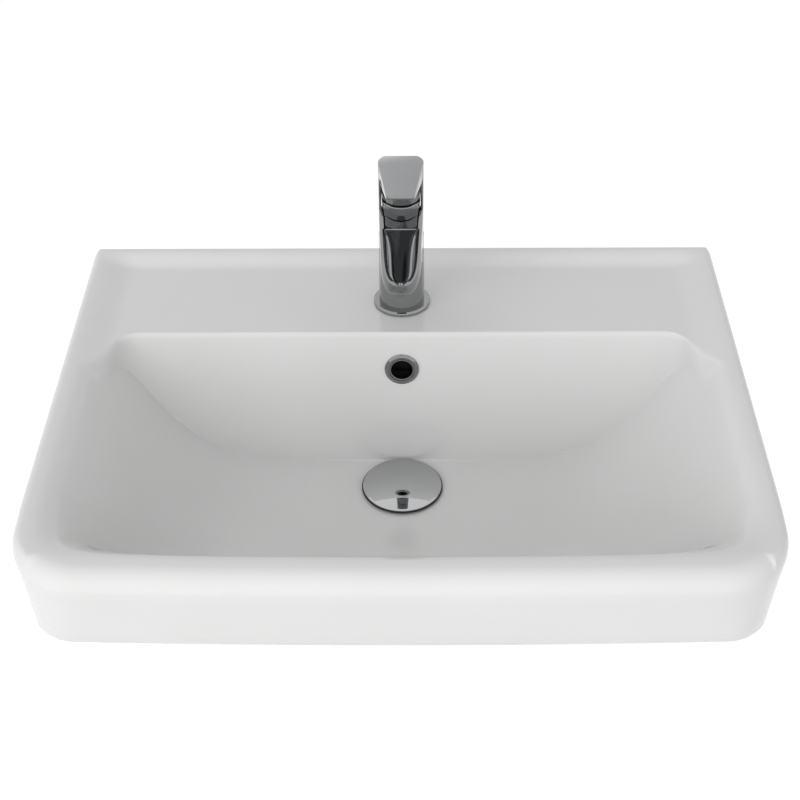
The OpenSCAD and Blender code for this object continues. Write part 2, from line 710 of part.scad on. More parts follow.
module lever_stem() {
    color(brass) at_tap() difference() {
        union() {
            translate([-stem_w / 2, -stem_w / 2, stem_low]) cube([stem_w, stem_w, stem_top - stem_low]);
            translate([0, 0, finger_low]) cylinder(r = finger_r, h = stem_low - finger_low + 1);
        }
        translate([-stem_w, 0, pivot_z]) rotate([0, 90, 0]) cylinder(r = pin_r + run_gap, h = 2 * stem_w);
    }
}

module cartridge_nut() {
    color(brass) at_tap() difference() {
        translate([0, 0, cart_top]) cylinder(r = nut_r, h = ring_nut_h);
        translate([0, 0, cart_top - 1]) cylinder(r = neck_r + 0.8, h = ring_nut_h + 2);
        for (a = [0:60:300]) rotate([0, 0, a]) translate([nut_r - 2.2, -1.2, body_h - 2]) cube([4, 2.4, 4]);
    }
}

cover_r = nut_r + 0.2;
cover_h = 8;

module cover_ring() {
    color(chrome) at_tap() rotate_extrude() polygon([
        [cover_r - 2.3, body_h], [cover_r, body_h], [cover_r, body_h + cover_h - 1.2],
        [cover_r - 0.4, body_h + cover_h - 0.4], [cover_r - 1.2, body_h + cover_h],
        [cover_r - 2.3, body_h + cover_h]]);
}

// Lever levels, above the deck
skirt_r = body_top_d / 2 - 0.1;
skirt_low = body_h + 1.5;
skirt_in_r = cover_r + 1;
boss_handle_r = cover_r - 0.6;
boss_low = body_h + cover_h + 2;
groove_top = body_h + 30.5;
cheek_y = 5;
groove_y = 8;
lever_slope = tan(lever_rise);
tilt_slope = tan(tilt_max);
lever_stock = 60;
function lever_top_z(y) = body_h + lever_back_h + (lever_back_y - y) * lever_slope;
screw_z = body_h + 19;
screw_r = 2.5;
screw_l = 8;
plug_r = 3.5;
plug_t = 3;

// Front part of the lever plate's outline, tapering to the tip; the skirt's circle is its back part
tip_r = 3;
module lever_outline() {
    half_tip = lever_tip_w / 2;
    polygon(concat(
        [[skirt_r - 0.2, 2], [-skirt_r + 0.2, 2]],
        [for (a = [180:15:270]) [-half_tip, -lever_reach] + tip_r * [1 + cos(a), 1 + sin(a)]],
        [for (a = [270:15:360]) [half_tip, -lever_reach] + tip_r * [cos(a) - 1, 1 + sin(a)]]));
}

module lever_handle() {
    color(chrome) at_tap() difference() {
        union() {
            intersection() {
                translate([0, 0, body_h]) union() {
                    linear_extrude(height = lever_stock) lever_outline();
                    cylinder(r = skirt_r, h = lever_stock);
                }
                along_x(body_d + 4) polygon([
                    [lever_back_y, lever_top_z(lever_back_y)],
                    [-lever_reach - 1, lever_top_z(-lever_reach - 1)],
                    [-lever_reach - 1, lever_top_z(-lever_reach) - lever_tip_t],
                    [-boss_handle_r, groove_top + 1.5], [-boss_handle_r, groove_top], [-cheek_y, groove_top],
                    [-cheek_y, skirt_low], [0, skirt_low],
                    [skirt_r + 1, skirt_low + (skirt_r + 1) * tilt_slope],
                    [skirt_r + 1, groove_top - 8.5], [lever_back_y, lever_top_z(lever_back_y) - 0.5]]);
            }
            translate([0, 0, boss_low]) cylinder(r = boss_handle_r + 0.4, h = groove_top + 2 - boss_low);
        }
        intersection() {
            ring_solid(skirt_in_r, boss_handle_r, body_h, groove_top + 0.5);
            translate([-body_d, -body_d, body_h]) cube([2 * body_d, body_d + groove_y, lever_stock]);
        }
        intersection() {
            translate([0, 0, body_h]) cylinder(r = skirt_in_r, h = 20);
            along_x(body_d) polygon([[-skirt_r, body_h - 1], [-skirt_r, boss_low], [0, boss_low],
                [skirt_r, boss_low + skirt_r * tilt_slope], [skirt_r, body_h - 1]]);
        }
        translate([-stem_w / 2 - seat_gap, -stem_w / 2 - seat_gap, body_h])
            cube([stem_w + 2 * seat_gap, stem_w + 2 * seat_gap, stem_top + seat_gap - body_h]);
        translate([0, 0, screw_z]) rotate([-90, 0, 0]) cylinder(r = screw_r + seat_gap, h = skirt_r + 5);
        translate([0, skirt_r - plug_t, screw_z]) rotate([-90, 0, 0]) cylinder(r = plug_r + seat_gap, h = 6);
    }
}

module lever_screw() {
    color(steel) at_tap() translate([0, stem_w / 2, screw_z]) rotate([-90, 0, 0]) difference() {
        cylinder(r = screw_r, h = screw_l);
        translate([0, 0, screw_l - 3]) cylinder(r = 1.4, h = 4, $fn = 6);
    }
}

module lever_screw_plug() {
    color(plastic) at_tap() intersection() {
        translate([0, skirt_r - plug_t, screw_z]) rotate([-90, 0, 0]) cylinder(r = plug_r, h = plug_t + 1);
        cylinder(r = skirt_r - 0.2, h = body_h + lever_stock);
    }
}

// Outlet of the spout
shell_out = 1.5;
shell_top = outlet_face_z + 4;
seal_t = 1;

module aerator_shell() {
    color(chrome) at_tap() translate([0, -aerator_reach, 0])
        ring_solid(aerator_d / 2, aerator_d / 2 - 1, outlet_face_z - shell_out, shell_top);
}

module aerator_insert() {
    color(plastic) at_tap() translate([0, -aerator_reach, 0]) difference() {
        translate([0, 0, outlet_face_z - shell_out + 0.7])
            cylinder(r = aerator_d / 2 - 1 - run_gap, h = shell_top - outlet_face_z + shell_out - 0.7);
        for (a = [0:60:300]) rotate([0, 0, a]) translate([2.6, 0, outlet_face_z - 3])
            cylinder(r = 0.9, h = 10);
        for (a = [0:30:330]) rotate([0, 0, a]) translate([5.2, 0, outlet_face_z - 3])
            cylinder(r = 0.8, h = 10);
    }
}

module aerator_seal() {
    color(rubber) at_tap() translate([0, -aerator_reach, 0])
        ring_solid(aerator_d / 2, aerator_d / 2 - 2, shell_top, shell_top + seal_t);
}

// Fixing under the deck
stud_r = 4;
stud_y = -9;
stud_low = -62;
rubber_t = 3;
steel_t = 2.5;
fixing_nut_h = 14;

module fixing_washer(z_top, t) {
    difference() {
        translate([0, 0, z_top - t]) cylinder(r = washer_r, h = t);
        translate([-washer_r, -1, z_top - t - 1]) cube([2 * washer_r, washer_r + 2, t + 2]);
        translate([0, stud_y, z_top - t - 1]) cylinder(r = stud_r + soft_gap, h = t + 2);
    }
}

module fixing_stud() {
    color(steel) at_tap() translate([0, stud_y, stud_low]) cylinder(r = stud_r, h = 12 - stud_low);
}

module fixing_rubber_washer() {
    color(rubber) at_tap() fixing_washer(-deck_t, rubber_t);
}

module fixing_steel_washer() {
    color(steel) at_tap() fixing_washer(-deck_t - rubber_t, steel_t);
}

module fixing_nut() {
    color(brass) at_tap() translate([0, stud_y, -deck_t - rubber_t - steel_t - fixing_nut_h]) difference() {
        cylinder(r = 7.5, h = fixing_nut_h, $fn = 6);
        translate([0, 0, -1]) cylinder(r = stud_r + seat_gap, h = fixing_nut_h + 2);
    }
}

basin_ceramic();
overflow_ring();
overflow_sleeve();
waste_body();
waste_flange_seal();
waste_lower_seal();
waste_slip_washer();
waste_backnut();
plug_cap();
plug_seal();
plug_spindle();
latch_housing();
latch_spring();
mixer_body();
mixer_base_ring();
mixer_base_gasket();
cartridge_housing();
cartridge_port_seals();
fixed_disc();
moving_disc();
cartridge_rotor();
pivot_pin();
lever_stem();
cartridge_nut();
cover_ring();
lever_handle();
lever_screw();
lever_screw_plug();
aerator_shell();
aerator_insert();
aerator_seal();
fixing_stud();
fixing_rubber_washer();
fixing_steel_washer();
fixing_nut();
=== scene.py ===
from math import asin, atan, cos, pi, radians, sin, tan

import bmesh
import bpy
import numpy as np
from mathutils import Matrix, Vector


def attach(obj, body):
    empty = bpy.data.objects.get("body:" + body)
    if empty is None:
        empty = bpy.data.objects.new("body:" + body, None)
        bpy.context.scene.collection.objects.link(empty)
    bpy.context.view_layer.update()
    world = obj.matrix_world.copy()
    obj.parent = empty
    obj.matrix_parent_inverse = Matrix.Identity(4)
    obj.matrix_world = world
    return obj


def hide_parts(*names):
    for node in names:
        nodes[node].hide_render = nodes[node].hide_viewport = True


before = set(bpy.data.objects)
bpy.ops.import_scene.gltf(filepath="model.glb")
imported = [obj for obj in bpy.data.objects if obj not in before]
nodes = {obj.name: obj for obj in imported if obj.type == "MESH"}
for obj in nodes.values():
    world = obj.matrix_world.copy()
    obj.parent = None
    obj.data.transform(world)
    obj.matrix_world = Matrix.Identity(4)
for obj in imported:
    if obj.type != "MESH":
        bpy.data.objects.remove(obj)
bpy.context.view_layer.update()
# Lengths are in millimetres, but the camera's and the studio's are in metres.
mm = 0.001
print("frame loaded:", len(nodes), "nodes")

# Angles are in degrees.
camera = dict(place=(0.0115, -1.2366, 0.8974), pitchDown=38.65, yaw=0.70, roll=-0.56, lens=67.5,
    sensor=36, farthest=30)


def makeCamera(v):
    data = bpy.data.cameras.new("photoCamera")
    data.lens = v["lens"]
    data.sensor_width = v["sensor"]
    data.clip_end = v["farthest"]
    eye = bpy.data.objects.new("photoCamera", data)
    bpy.context.scene.collection.objects.link(eye)
    pitch = Matrix.Rotation(radians(90 - v["pitchDown"]), 4, "X")
    turn = Matrix.Rotation(radians(v["yaw"]), 4, "Z") @ pitch
    roll = Matrix.Rotation(radians(v["roll"]), 4, "Z")
    eye.matrix_world = Matrix.Translation(v["place"]) @ turn @ roll
    bpy.context.scene.camera = eye


makeCamera(camera)


# Puts points (n, 3) and a list of face arrays into a new object, and joins points that lie closer
# than merge.
def newPiece(name, points, faces, material=None, merge=0.0):
    data = bpy.data.meshes.new(name)
    data.from_pydata((np.asarray(points, float) * mm).tolist(), [],
        [f for part in faces for f in np.asarray(part).tolist()])
    if merge:
        bm = bmesh.new()
        bm.from_mesh(data)
        bmesh.ops.remove_doubles(bm, verts=bm.verts, dist=merge * mm)
        bmesh.ops.recalc_face_normals(bm, faces=bm.faces)
        bm.to_mesh(data)
        bm.free()
    data.update()
    piece = bpy.data.objects.new(name, data)
    bpy.context.scene.collection.objects.link(piece)
    if material:
        data.materials.append(material)
    return piece


# Unites with, cuts by or keeps what is inside other pieces, which are used up.
def combine(piece, others, operation):
    group = bpy.data.collections.new("tools")
    for other in others:
        bpy.context.scene.collection.objects.unlink(other)
        group.objects.link(other)
    change = piece.modifiers.new("combine", "BOOLEAN")
    change.operand_type = "COLLECTION"
    change.collection = group
    change.operation = operation
    change.solver = "EXACT"
    change.material_mode = "TRANSFER"
    applyModifiers(piece)
    for other in others:
        bpy.data.objects.remove(other)
    bpy.data.collections.remove(group)
    return piece


def applyModifiers(piece):
    bpy.context.view_layer.update()
    changed = piece.evaluated_get(bpy.context.evaluated_depsgraph_get())
    done = bpy.data.meshes.new_from_object(changed)
    old = piece.data
    piece.modifiers.clear()
    piece.data = done
    bpy.data.meshes.remove(old)


def smoothFaces(piece, sharpAngle=35):
    data = piece.data
    data.polygons.foreach_set("use_smooth", np.ones(len(data.polygons), bool))
    data.set_sharp_from_angle(angle=radians(sharpAngle))
    return piece


# Clears flat seams, rounds the sharp edges over and keeps the flats flat.
def softenEdges(piece, width, angle=38, segments=3, seam=0.004, flat=0.4, sharpAngle=40):
    bm = bmesh.new()
    bm.from_mesh(piece.data)
    bmesh.ops.remove_doubles(bm, verts=bm.verts, dist=seam * mm)
    bmesh.ops.dissolve_limit(bm, angle_limit=radians(flat), verts=bm.verts, edges=bm.edges,
        delimit={"MATERIAL"})
    bm.to_mesh(piece.data)
    bm.free()
    bevel = piece.modifiers.new("soft edges", "BEVEL")
    bevel.width = width * mm
    bevel.segments = segments
    bevel.limit_method = "ANGLE"
    bevel.angle_limit = radians(angle)
    bevel.harden_normals = True
    bevel.miter_outer = "MITER_ARC"
    applyModifiers(piece)
    return smoothFaces(piece, sharpAngle)


# Turns an [r, z] profile round Z, point = (r cos a, r sin a, z), then leans it about X by some
# degrees. A closed profile gives a ring, an open one has both ends on the axis.
def lathe(name, profile, at=(0, 0, 0), steps=128, lean=0.0, material=None, closed=True):
    profile = np.asarray(profile, float)
    a = np.linspace(0, 2 * pi, steps, endpoint=False)
    r, z = profile[:, 0], profile[:, 1]
    points = np.stack([np.outer(np.cos(a), r), np.outer(np.sin(a), r), np.outer(np.ones(steps), z)],
        -1).reshape(-1, 3)
    points = points @ np.array(Matrix.Rotation(radians(lean), 3, "X")).T + at
    n = len(profile)
    grid = np.arange(steps * n).reshape(steps, n)
    after = np.roll(grid, -1, 0)
    quads = np.stack([grid, after, np.roll(after, -1, 1), np.roll(grid, -1, 1)], -1)
    quads = (quads if closed else quads[:, :-1]).reshape(-1, 4)
    return newPiece(name, points, [quads], material, merge=0.001)


# A closed outline whose corners are arcs: each corner gives way to points on a circle that touches
# both sides. Its reach along a side is radius / tan(half the corner's angle), at most a given share
# of that side.
def rounded(corners, radii, steps=5, straight=1.55, most=0.49):
    corners = np.asarray(corners, float)
    radii = np.broadcast_to(radii, len(corners))
    out = []
    for i, r in enumerate(radii):
        here, before, after = corners[i], corners[i - 1], corners[(i + 1) % len(corners)]
        a, b = (before - here), (after - here)
        la, lb = np.linalg.norm(a), np.linalg.norm(b)
        a, b = a / la, b / lb
        half = np.arccos(np.clip(a @ b, -1, 1)) / 2
        if r <= 0 or half > straight:
            out.append(here[None])
            continue
        cut = min(r / np.tan(half), la * most, lb * most)
        r = cut * np.tan(half)
        middle = here + (a + b) / np.linalg.norm(a + b) * (r / np.sin(half))
        start, end = here + a * cut - middle, here + b * cut - middle
        sweep = np.arccos(np.clip(start @ end / r / r, -1, 1))
        t = np.linspace(0, 1, steps + 1)[:, None]
        arc = np.sin((1 - t) * sweep) * start + np.sin(t * sweep) * end
        out.append(middle + arc / np.sin(sweep))
    return np.concatenate(out)


# Carries a closed outline straight along Z, or an outline of [y, z] along X.
def prism(name, outline, low, high, axis="z", material=None):
    outline = np.asarray(outline, float)
    n = len(outline)
    column = 2 if axis == "z" else 0
    ends = [np.insert(outline, column, h, 1) for h in (low, high)]
    i = np.arange(n)
    sides = np.stack([i, np.roll(i, -1), np.roll(i, -1) + n, i + n], -1)
    return newPiece(name, np.concatenate(ends), [sides, [i[::-1]], [i + n]], material, merge=0.0005)


# A round bar from start along a direction.
def rod(name, start, direction, r, length, steps=64, material=None):
    piece = lathe(name, [[0, 0], [r, 0], [r, length], [0, length]], steps=steps, closed=False,
        material=material)
    turn = Vector((0, 0, 1)).rotation_difference(Vector(direction)).to_matrix().to_4x4()
    piece.data.transform(Matrix.Translation(Vector(start) * mm) @ turn)
    return piece


def place(piece, move):
    piece.data.transform(Matrix.Translation(Vector(move) * mm))
    return piece


def finishPiece(piece, body, slotName, *replaced):
    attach(piece, body)
    if replaced:
        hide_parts(*replaced)
    print("piece", piece.name, len(piece.data.polygons), "faces")
    return piece


def addNode(tree, kind, **settings):
    item = tree.nodes.new(kind)
    for key, value in settings.items():
        if hasattr(item, key):
            setattr(item, key, value)
        else:
            item.inputs[key.replace("_", " ")].default_value = value
    return item


# A shader group with its sockets; gives the tree, its input node and its output node.
def makeGroup(name, inputs, outputs):
    tree = bpy.data.node_groups.new(name, "ShaderNodeTree")
    for label, kind, value in inputs:
        socket = tree.interface.new_socket(label, in_out="INPUT", socket_type=kind)
        if value is not None:
            socket.default_value = value
    for label, kind in outputs:
        tree.interface.new_socket(label, in_out="OUTPUT", socket_type=kind)
    return tree, addNode(tree, "NodeGroupInput"), addNode(tree, "NodeGroupOutput")


# A value that drifts between Low and High with soft noise of a given scale.
def driftGroup():
    kind = "NodeSocketFloat"
    tree, given, out = makeGroup("slowDrift", [("Scale", kind, 20.0), ("Detail", kind, 4.0),
        ("Low", kind, 0.0), ("High", kind, 1.0)], [("Value", kind)])
    coords = addNode(tree, "ShaderNodeTexCoord")
    noise = addNode(tree, "ShaderNodeTexNoise")
    spread = addNode(tree, "ShaderNodeMapRange", From_Min=0.35, From_Max=0.65)
    link = tree.links.new
    link(coords.outputs["Object"], noise.inputs["Vector"])
    link(given.outputs["Scale"], noise.inputs["Scale"])
    link(given.outputs["Detail"], noise.inputs["Detail"])
    link(noise.outputs["Fac"], spread.inputs["Value"])
    link(given.outputs["Low"], spread.inputs["To Min"])
    link(given.outputs["High"], spread.inputs["To Max"])
    link(spread.outputs["Result"], out.inputs["Value"])
    return tree


# A height made of broad waves and fine grain, each with its own scale and share.
def reliefGroup():
    kind = "NodeSocketFloat"
    tree, given, out = makeGroup("softRelief", [("Wave Scale", kind, 40.0),
        ("Grain Scale", kind, 900.0), ("Grain Share", kind, 0.2)], [("Height", kind)])
    coords = addNode(tree, "ShaderNodeTexCoord")
    wave = addNode(tree, "ShaderNodeTexNoise", Detail=1.0)
    grain = addNode(tree, "ShaderNodeTexNoise", Detail=3.0)
    mix = addNode(tree, "ShaderNodeMix", data_type="FLOAT")
    link = tree.links.new
    link(coords.outputs["Object"], wave.inputs["Vector"])
    link(coords.outputs["Object"], grain.inputs["Vector"])
    link(given.outputs["Wave Scale"], wave.inputs["Scale"])
    link(given.outputs["Grain Scale"], grain.inputs["Scale"])
    link(given.outputs["Grain Share"], mix.inputs["Factor"])
    link(wave.outputs["Fac"], mix.inputs["A"])
    link(grain.outputs["Fac"], mix.inputs["B"])
    link(mix.outputs["Result"], out.inputs["Height"])
    return tree


slowDrift = driftGroup()
softRelief = reliefGroup()

# Scales are per metre, and the depth of the relief is in millimetres.
finishes = {
    "glazeWhite": dict(low=(0.785, 0.785, 0.780), high=(0.815, 0.815, 0.812), colourScale=6,
        rough=(0.08, 0.13), roughScale=9,
        wave=28, grain=700, grainShare=0.04, bump=0.05, bumpDepth=0.2, metal=0, coat=0.35),
    "bisqueBare": dict(low=(0.60, 0.565, 0.50), high=(0.72, 0.69, 0.63), colourScale=60,
        rough=(0.75, 0.9), roughScale=80,
        wave=220, grain=1800, grainShare=0.6, bump=0.5, bumpDepth=0.3, metal=0, coat=0),
    # Painted shade: the duct's near-black colour on the overflow's channel, chamber and hole stands
    # in for the dark inside them.
    "ductPaintedShade": dict(low=(0.018, 0.017, 0.016), high=(0.035, 0.033, 0.030), colourScale=90,
        rough=(0.6, 0.85), roughScale=60,
        wave=160, grain=1500, grainShare=0.5, bump=0.4, bumpDepth=0.3, metal=0, coat=0),
    # Painted shade: this chrome is darker than real chrome and stands in for the dark surroundings
    # it would reflect. The tap, the lever, the collar and the model's chrome parts get it.
    "chromeWithPaintedShade": dict(low=(0.285, 0.29, 0.295), high=(0.31, 0.315, 0.32), colourScale=14,
        rough=(0.035, 0.075), roughScale=70,
        wave=60, grain=2600, grainShare=0.3, bump=0.02, bumpDepth=0.05, metal=1, coat=0),
    # Painted light: a lighter copy of the same chrome, for the plug's dome, which shows brighter
    # than the tap.
    "chromeWithPaintedLight": dict(low=(0.49, 0.495, 0.50), high=(0.52, 0.525, 0.53), colourScale=14,
        rough=(0.03, 0.06), roughScale=70,
        wave=60, grain=2600, grainShare=0.3, bump=0.02, bumpDepth=0.05, metal=1, coat=0),
    "brassRaw": dict(low=(0.62, 0.44, 0.19), high=(0.80, 0.62, 0.32), colourScale=110,
        rough=(0.24, 0.42), roughScale=300,
        wave=500, grain=3200, grainShare=0.5, bump=0.15, bumpDepth=0.1, metal=1, coat=0),
    "rubberBlack": dict(low=(0.018, 0.018, 0.019), high=(0.04, 0.04, 0.042), colourScale=180,
        rough=(0.6, 0.8), roughScale=240,
        wave=400, grain=2800, grainShare=0.6, bump=0.35, bumpDepth=0.15, metal=0, coat=0),
    "plasticPale": dict(low=(0.66, 0.66, 0.63), high=(0.74, 0.74, 0.71), colourScale=90,
        rough=(0.32, 0.45), roughScale=200,
        wave=300, grain=2400, grainShare=0.5, bump=0.12, bumpDepth=0.1, metal=0, coat=0),
    "discCeramic": dict(low=(0.50, 0.50, 0.52), high=(0.60, 0.60, 0.62), colourScale=260,
        rough=(0.08, 0.16), roughScale=420,
        wave=700, grain=3600, grainShare=0.4, bump=0.05, bumpDepth=0.05, metal=0, coat=0.2),
    "steelBright": dict(low=(0.46, 0.47, 0.48), high=(0.60, 0.61, 0.62), colourScale=160,
        rough=(0.2, 0.36), roughScale=420,
        wave=600, grain=3400, grainShare=0.5, bump=0.12, bumpDepth=0.08, metal=1, coat=0),
}


# Colour and roughness each drift between two values; a relief of waves and grain bumps the skin.
def makeFinish(name, v, coatRough=0.03, colourDetail=5, roughDetail=4):
    material = bpy.data.materials.new(name)
    material.use_nodes = True
    tree = material.node_tree
    shader = tree.nodes["Principled BSDF"]
    shader.inputs["Metallic"].default_value = v["metal"]
    shader.inputs["Coat Weight"].default_value = v["coat"]
    shader.inputs["Coat Roughness"].default_value = coatRough

    def drift(scale, detail, low, high):
        item = addNode(tree, "ShaderNodeGroup", node_tree=slowDrift)
        for key, value in (("Scale", scale), ("Detail", detail), ("Low", low), ("High", high)):
            item.inputs[key].default_value = value
        return item.outputs["Value"]

    colours = addNode(tree, "ShaderNodeValToRGB")
    colours.color_ramp.elements[0].color = (*v["low"], 1)
    colours.color_ramp.elements[1].color = (*v["high"], 1)
    relief = addNode(tree, "ShaderNodeGroup", node_tree=softRelief)
    for key, value in (("Wave Scale", v["wave"]), ("Grain Scale", v["grain"]),
            ("Grain Share", v["grainShare"])):
        relief.inputs[key].default_value = value
    bump = addNode(tree, "ShaderNodeBump", Strength=v["bump"], Distance=v["bumpDepth"] * mm)
    link = tree.links.new
    link(drift(v["colourScale"], colourDetail, 0, 1), colours.inputs["Fac"])
    link(colours.outputs["Color"], shader.inputs["Base Color"])
    link(drift(v["roughScale"], roughDetail, *v["rough"]), shader.inputs["Roughness"])
    link(relief.outputs["Height"], bump.inputs["Height"])
    link(bump.outputs["Normal"], shader.inputs["Normal"])
    return material


finish = {name: makeFinish(name, v) for name, v in finishes.items()}
# The model's chrome parts get the chrome with painted shade.
slotFinish = dict(glaze="glazeWhite", chrome="chromeWithPaintedShade", brass="brassRaw", rubber="rubberBlack",
    plastic="plasticPale", disc="discCeramic", steel="steelBright")
for cadNode in nodes.values():
    for slotPlace in cadNode.material_slots:
        slotPlace.material = finish[slotFinish[slotPlace.material.name.split(".")[0]]]
print("materials made:", len(finish))


# The first lines give the outline and the rim's rounding, then come the shelf and the pan in front
# of it, the bowl, the back wall with its ends, the soft edges, the fittings' seats, the ducts, the
# bolts and the counts of lines.
basin = dict(width=600, depth=450, frontBow=5, rimHeight=100, apronHeight=84, sideDraft=8,
    frontDraft=12, wall=10, backExtra=2, frontCorner=56, footCorner=38, backCorner=6, rimRound=8,
    frontRound=16, frontRoundFrom=90, frontRoundFull=20, lipRound=3, footRound=3,
    flangeHeight=165, flangeFade=75,
    shelfDepth=131, shelfDrop=9, lipFoot=26, lipFlat=6, shelfSide=42, panSide=4, panFront=24,
    panFrontFoot=110,
    bowlDepth=150, floorFall=0.03, floorFlat=32, sideFlat=15, sideFoot=66, sidePower=1.64,
    frontRim=23, frontFoot=50, frontPower=1.9,
    wallLean=0.1, endLean=2, endFrom=44, endRun=16, bowlCorner=24, cornerSide=62, cornerArc=0.92,
    cornerSlope=2.347, turnMost=38, turnStart=4, turnFull=8, turnFade=(40, 150),
    shelfEdgeSoft=10, shelfEdgeFade=(-1, 40), creaseSoft=10, creaseFade=(-1, 30),
    tapGap=51, tapHole=35, deckThick=16, tapBossRadius=32, overflowHole=24, overflowDrop=47,
    overflowReach=(-17, 13), overflowRecess=15.6, recessReach=10, wasteBack=184, wasteHole=45,
    seatRecess=2, seatRadius=33.5, bossHeight=33, bossRadius=42, bossEdge=2,
    ductWidth=60, ductTop=16, ductStep=30, ductHeel=38, ductBack=104, ductWall=8,
    channelWidth=44, channelTop=12, channelShort=15, channelHeel=32, chamberRoom=9,
    boltGap=280, boltHole=14, linesAcross=241, linesDeep=191, rimLines=9, apronLines=7,
    footLines=4, sectionBack=250, sectionShare=0.8, samplesAcross=3000, samplesDeep=4000)
tapBack = basin["shelfDepth"] - basin["tapGap"]


# 0 before a, 1 after b, and between them 3 u^2 - 2 u^3.
def ramp(v, a, b):
    u = np.clip((v - a) / (b - a), 0, 1)
    return u * u * (3 - 2 * u)


# 0 before start, then 1 - e^-(distance / reach)^power.
def sink(v, start, reach, power):
    return 1 - np.exp(-(np.maximum(v - start, 0) / reach) ** power)


# The larger of two heights, with a fillet that is k / 4 thick where they meet.
def blendMax(a, b, k):
    h = np.maximum(k - np.abs(a - b), 0) / np.maximum(k, 1e-6)
    return np.maximum(a, b) + h * h * k / 4


def blendMin(a, b, k):
    return -blendMax(-a, -b, k)


# How far the back wall has turned forwards, at a distance in from the side: an arc, then a straight
# line of the arc's last slope.
def cornerShift(side, v):
    r = v["bowlCorner"]
    s = np.maximum(v["cornerSide"] - side, 0)
    t = np.minimum(s / r, v["cornerArc"])
    return r * (1 - np.sqrt(1 - t * t)) + v["cornerSlope"] * np.maximum(s - v["cornerArc"] * r, 0)


# Height of the inner face below the rim: a shallow pan for the shelf, the dished bowl in it, and a
# steep back wall between them. Grow gives a wider copy, for the underside.
def innerHeight(x, y, grow, v):
    half = v["width"] / 2
    side = half - np.abs(x) + grow
    front = v["depth"] + v["frontBow"] * (1 - (x / half) ** 2) + y + grow
    pan = -v["shelfDrop"] * ramp(side, v["panSide"], v["shelfSide"])
    pan = pan * ramp(grow - y, v["lipFlat"], v["lipFoot"])
    pan = pan * ramp(front, v["panFront"], v["panFrontFoot"])
    r = np.hypot(x, y + v["wasteBack"])
    dish = -(v["bowlDepth"] - v["shelfDrop"] - v["floorFall"] * np.maximum(r - v["floorFlat"], 0))
    dish = dish * sink(side, v["sideFlat"], v["sideFoot"], v["sidePower"])
    dish = dish * sink(front, v["frontRim"], v["frontFoot"], v["frontPower"])
    q = grow - y - v["shelfDepth"] - cornerShift(side, v)
    lean = v["wallLean"] + v["endLean"] * ramp(v["endFrom"] - side, 0, v["endRun"])
    wall = -v["shelfDrop"] - q / lean
    edgeSoft = v["shelfEdgeSoft"] * ramp(-dish, *v["shelfEdgeFade"])
    creaseSoft = v["creaseSoft"] * ramp(-dish, *v["creaseFade"])
    return blendMax(pan + dish, blendMin(pan, wall, edgeSoft), creaseSoft)


# Carries points of a plain rectangle to the basin's plan: round corners, a bowed front, and lines
# that turn forwards with the ends of the back wall.
def basinOutline(x, y, grow, v, corner):
    half, shelf = v["width"] / 2, v["shelfDepth"] - grow
    near = ramp(-y, v["lipFoot"] + v["turnStart"], shelf - v["turnFull"])
    near = near * (1 - ramp(-y, shelf + v["turnFade"][0], shelf + v["turnFade"][1]))
    y = y - np.minimum(cornerShift(half - np.abs(x) + grow, v), v["turnMost"]) * near
    fx, fy = np.abs(x) - (half - corner), -y - (v["depth"] - corner)
    bx, by = np.abs(x) - (half - v["backCorner"]), y + v["backCorner"]
    f = np.where((fx > 0) & (fy > 0), np.maximum(fx, fy) / np.maximum(np.hypot(fx, fy), 1e-9), 1)
    b = np.where((bx > 0) & (by > 0), np.maximum(bx, by) / np.maximum(np.hypot(bx, by), 1e-9), 1)
    outX = x - np.sign(x) * (np.maximum(fx, 0) * (1 - f) + np.maximum(bx, 0) * (1 - b))
    outY = y + np.maximum(fy, 0) * (1 - f) - np.maximum(by, 0) * (1 - b)
    bow = v["frontBow"] * (1 - (outX / half) ** 2) * ramp(-outY, v["depth"] / 2, v["depth"])
    return outX, outY - bow


# Coordinates that are evenly spaced along the slope, so steep parts get as many lines as flat ones.
def evenLines(coordinate, height, count):
    length = np.concatenate([[0], np.cumsum(np.hypot(np.diff(coordinate), np.diff(height)))])
    return np.interp(np.linspace(0, length[-1], count), length, coordinate)


def basinGrid(side, back, front, grow, nx, ny, v):
    y = np.linspace(-back, -v["depth"] + front, v["samplesDeep"])
    y = evenLines(y, innerHeight(0 * y, y, grow, v), ny)
    x = np.linspace(0, v["width"] / 2 - side, v["samplesAcross"])
    section = innerHeight(x, 0 * x - v["sectionBack"], grow, v) * v["sectionShare"]
    x = evenLines(x, section, (nx + 1) // 2)
    return np.meshgrid(np.concatenate([-x[::-1], x[1:]]), y)


# Column and row of each point on a grid's edge, in one round.
def gridBorder(nx, ny):
    i = np.concatenate([np.arange(nx - 1), np.full(ny - 1, nx - 1), np.arange(nx - 1, 0, -1),
        np.zeros(ny - 1, int)])
    j = np.concatenate([np.zeros(nx - 1, int), np.arange(ny - 1), np.full(nx - 1, ny - 1),
        np.arange(ny - 1, 0, -1)])
    return i, j


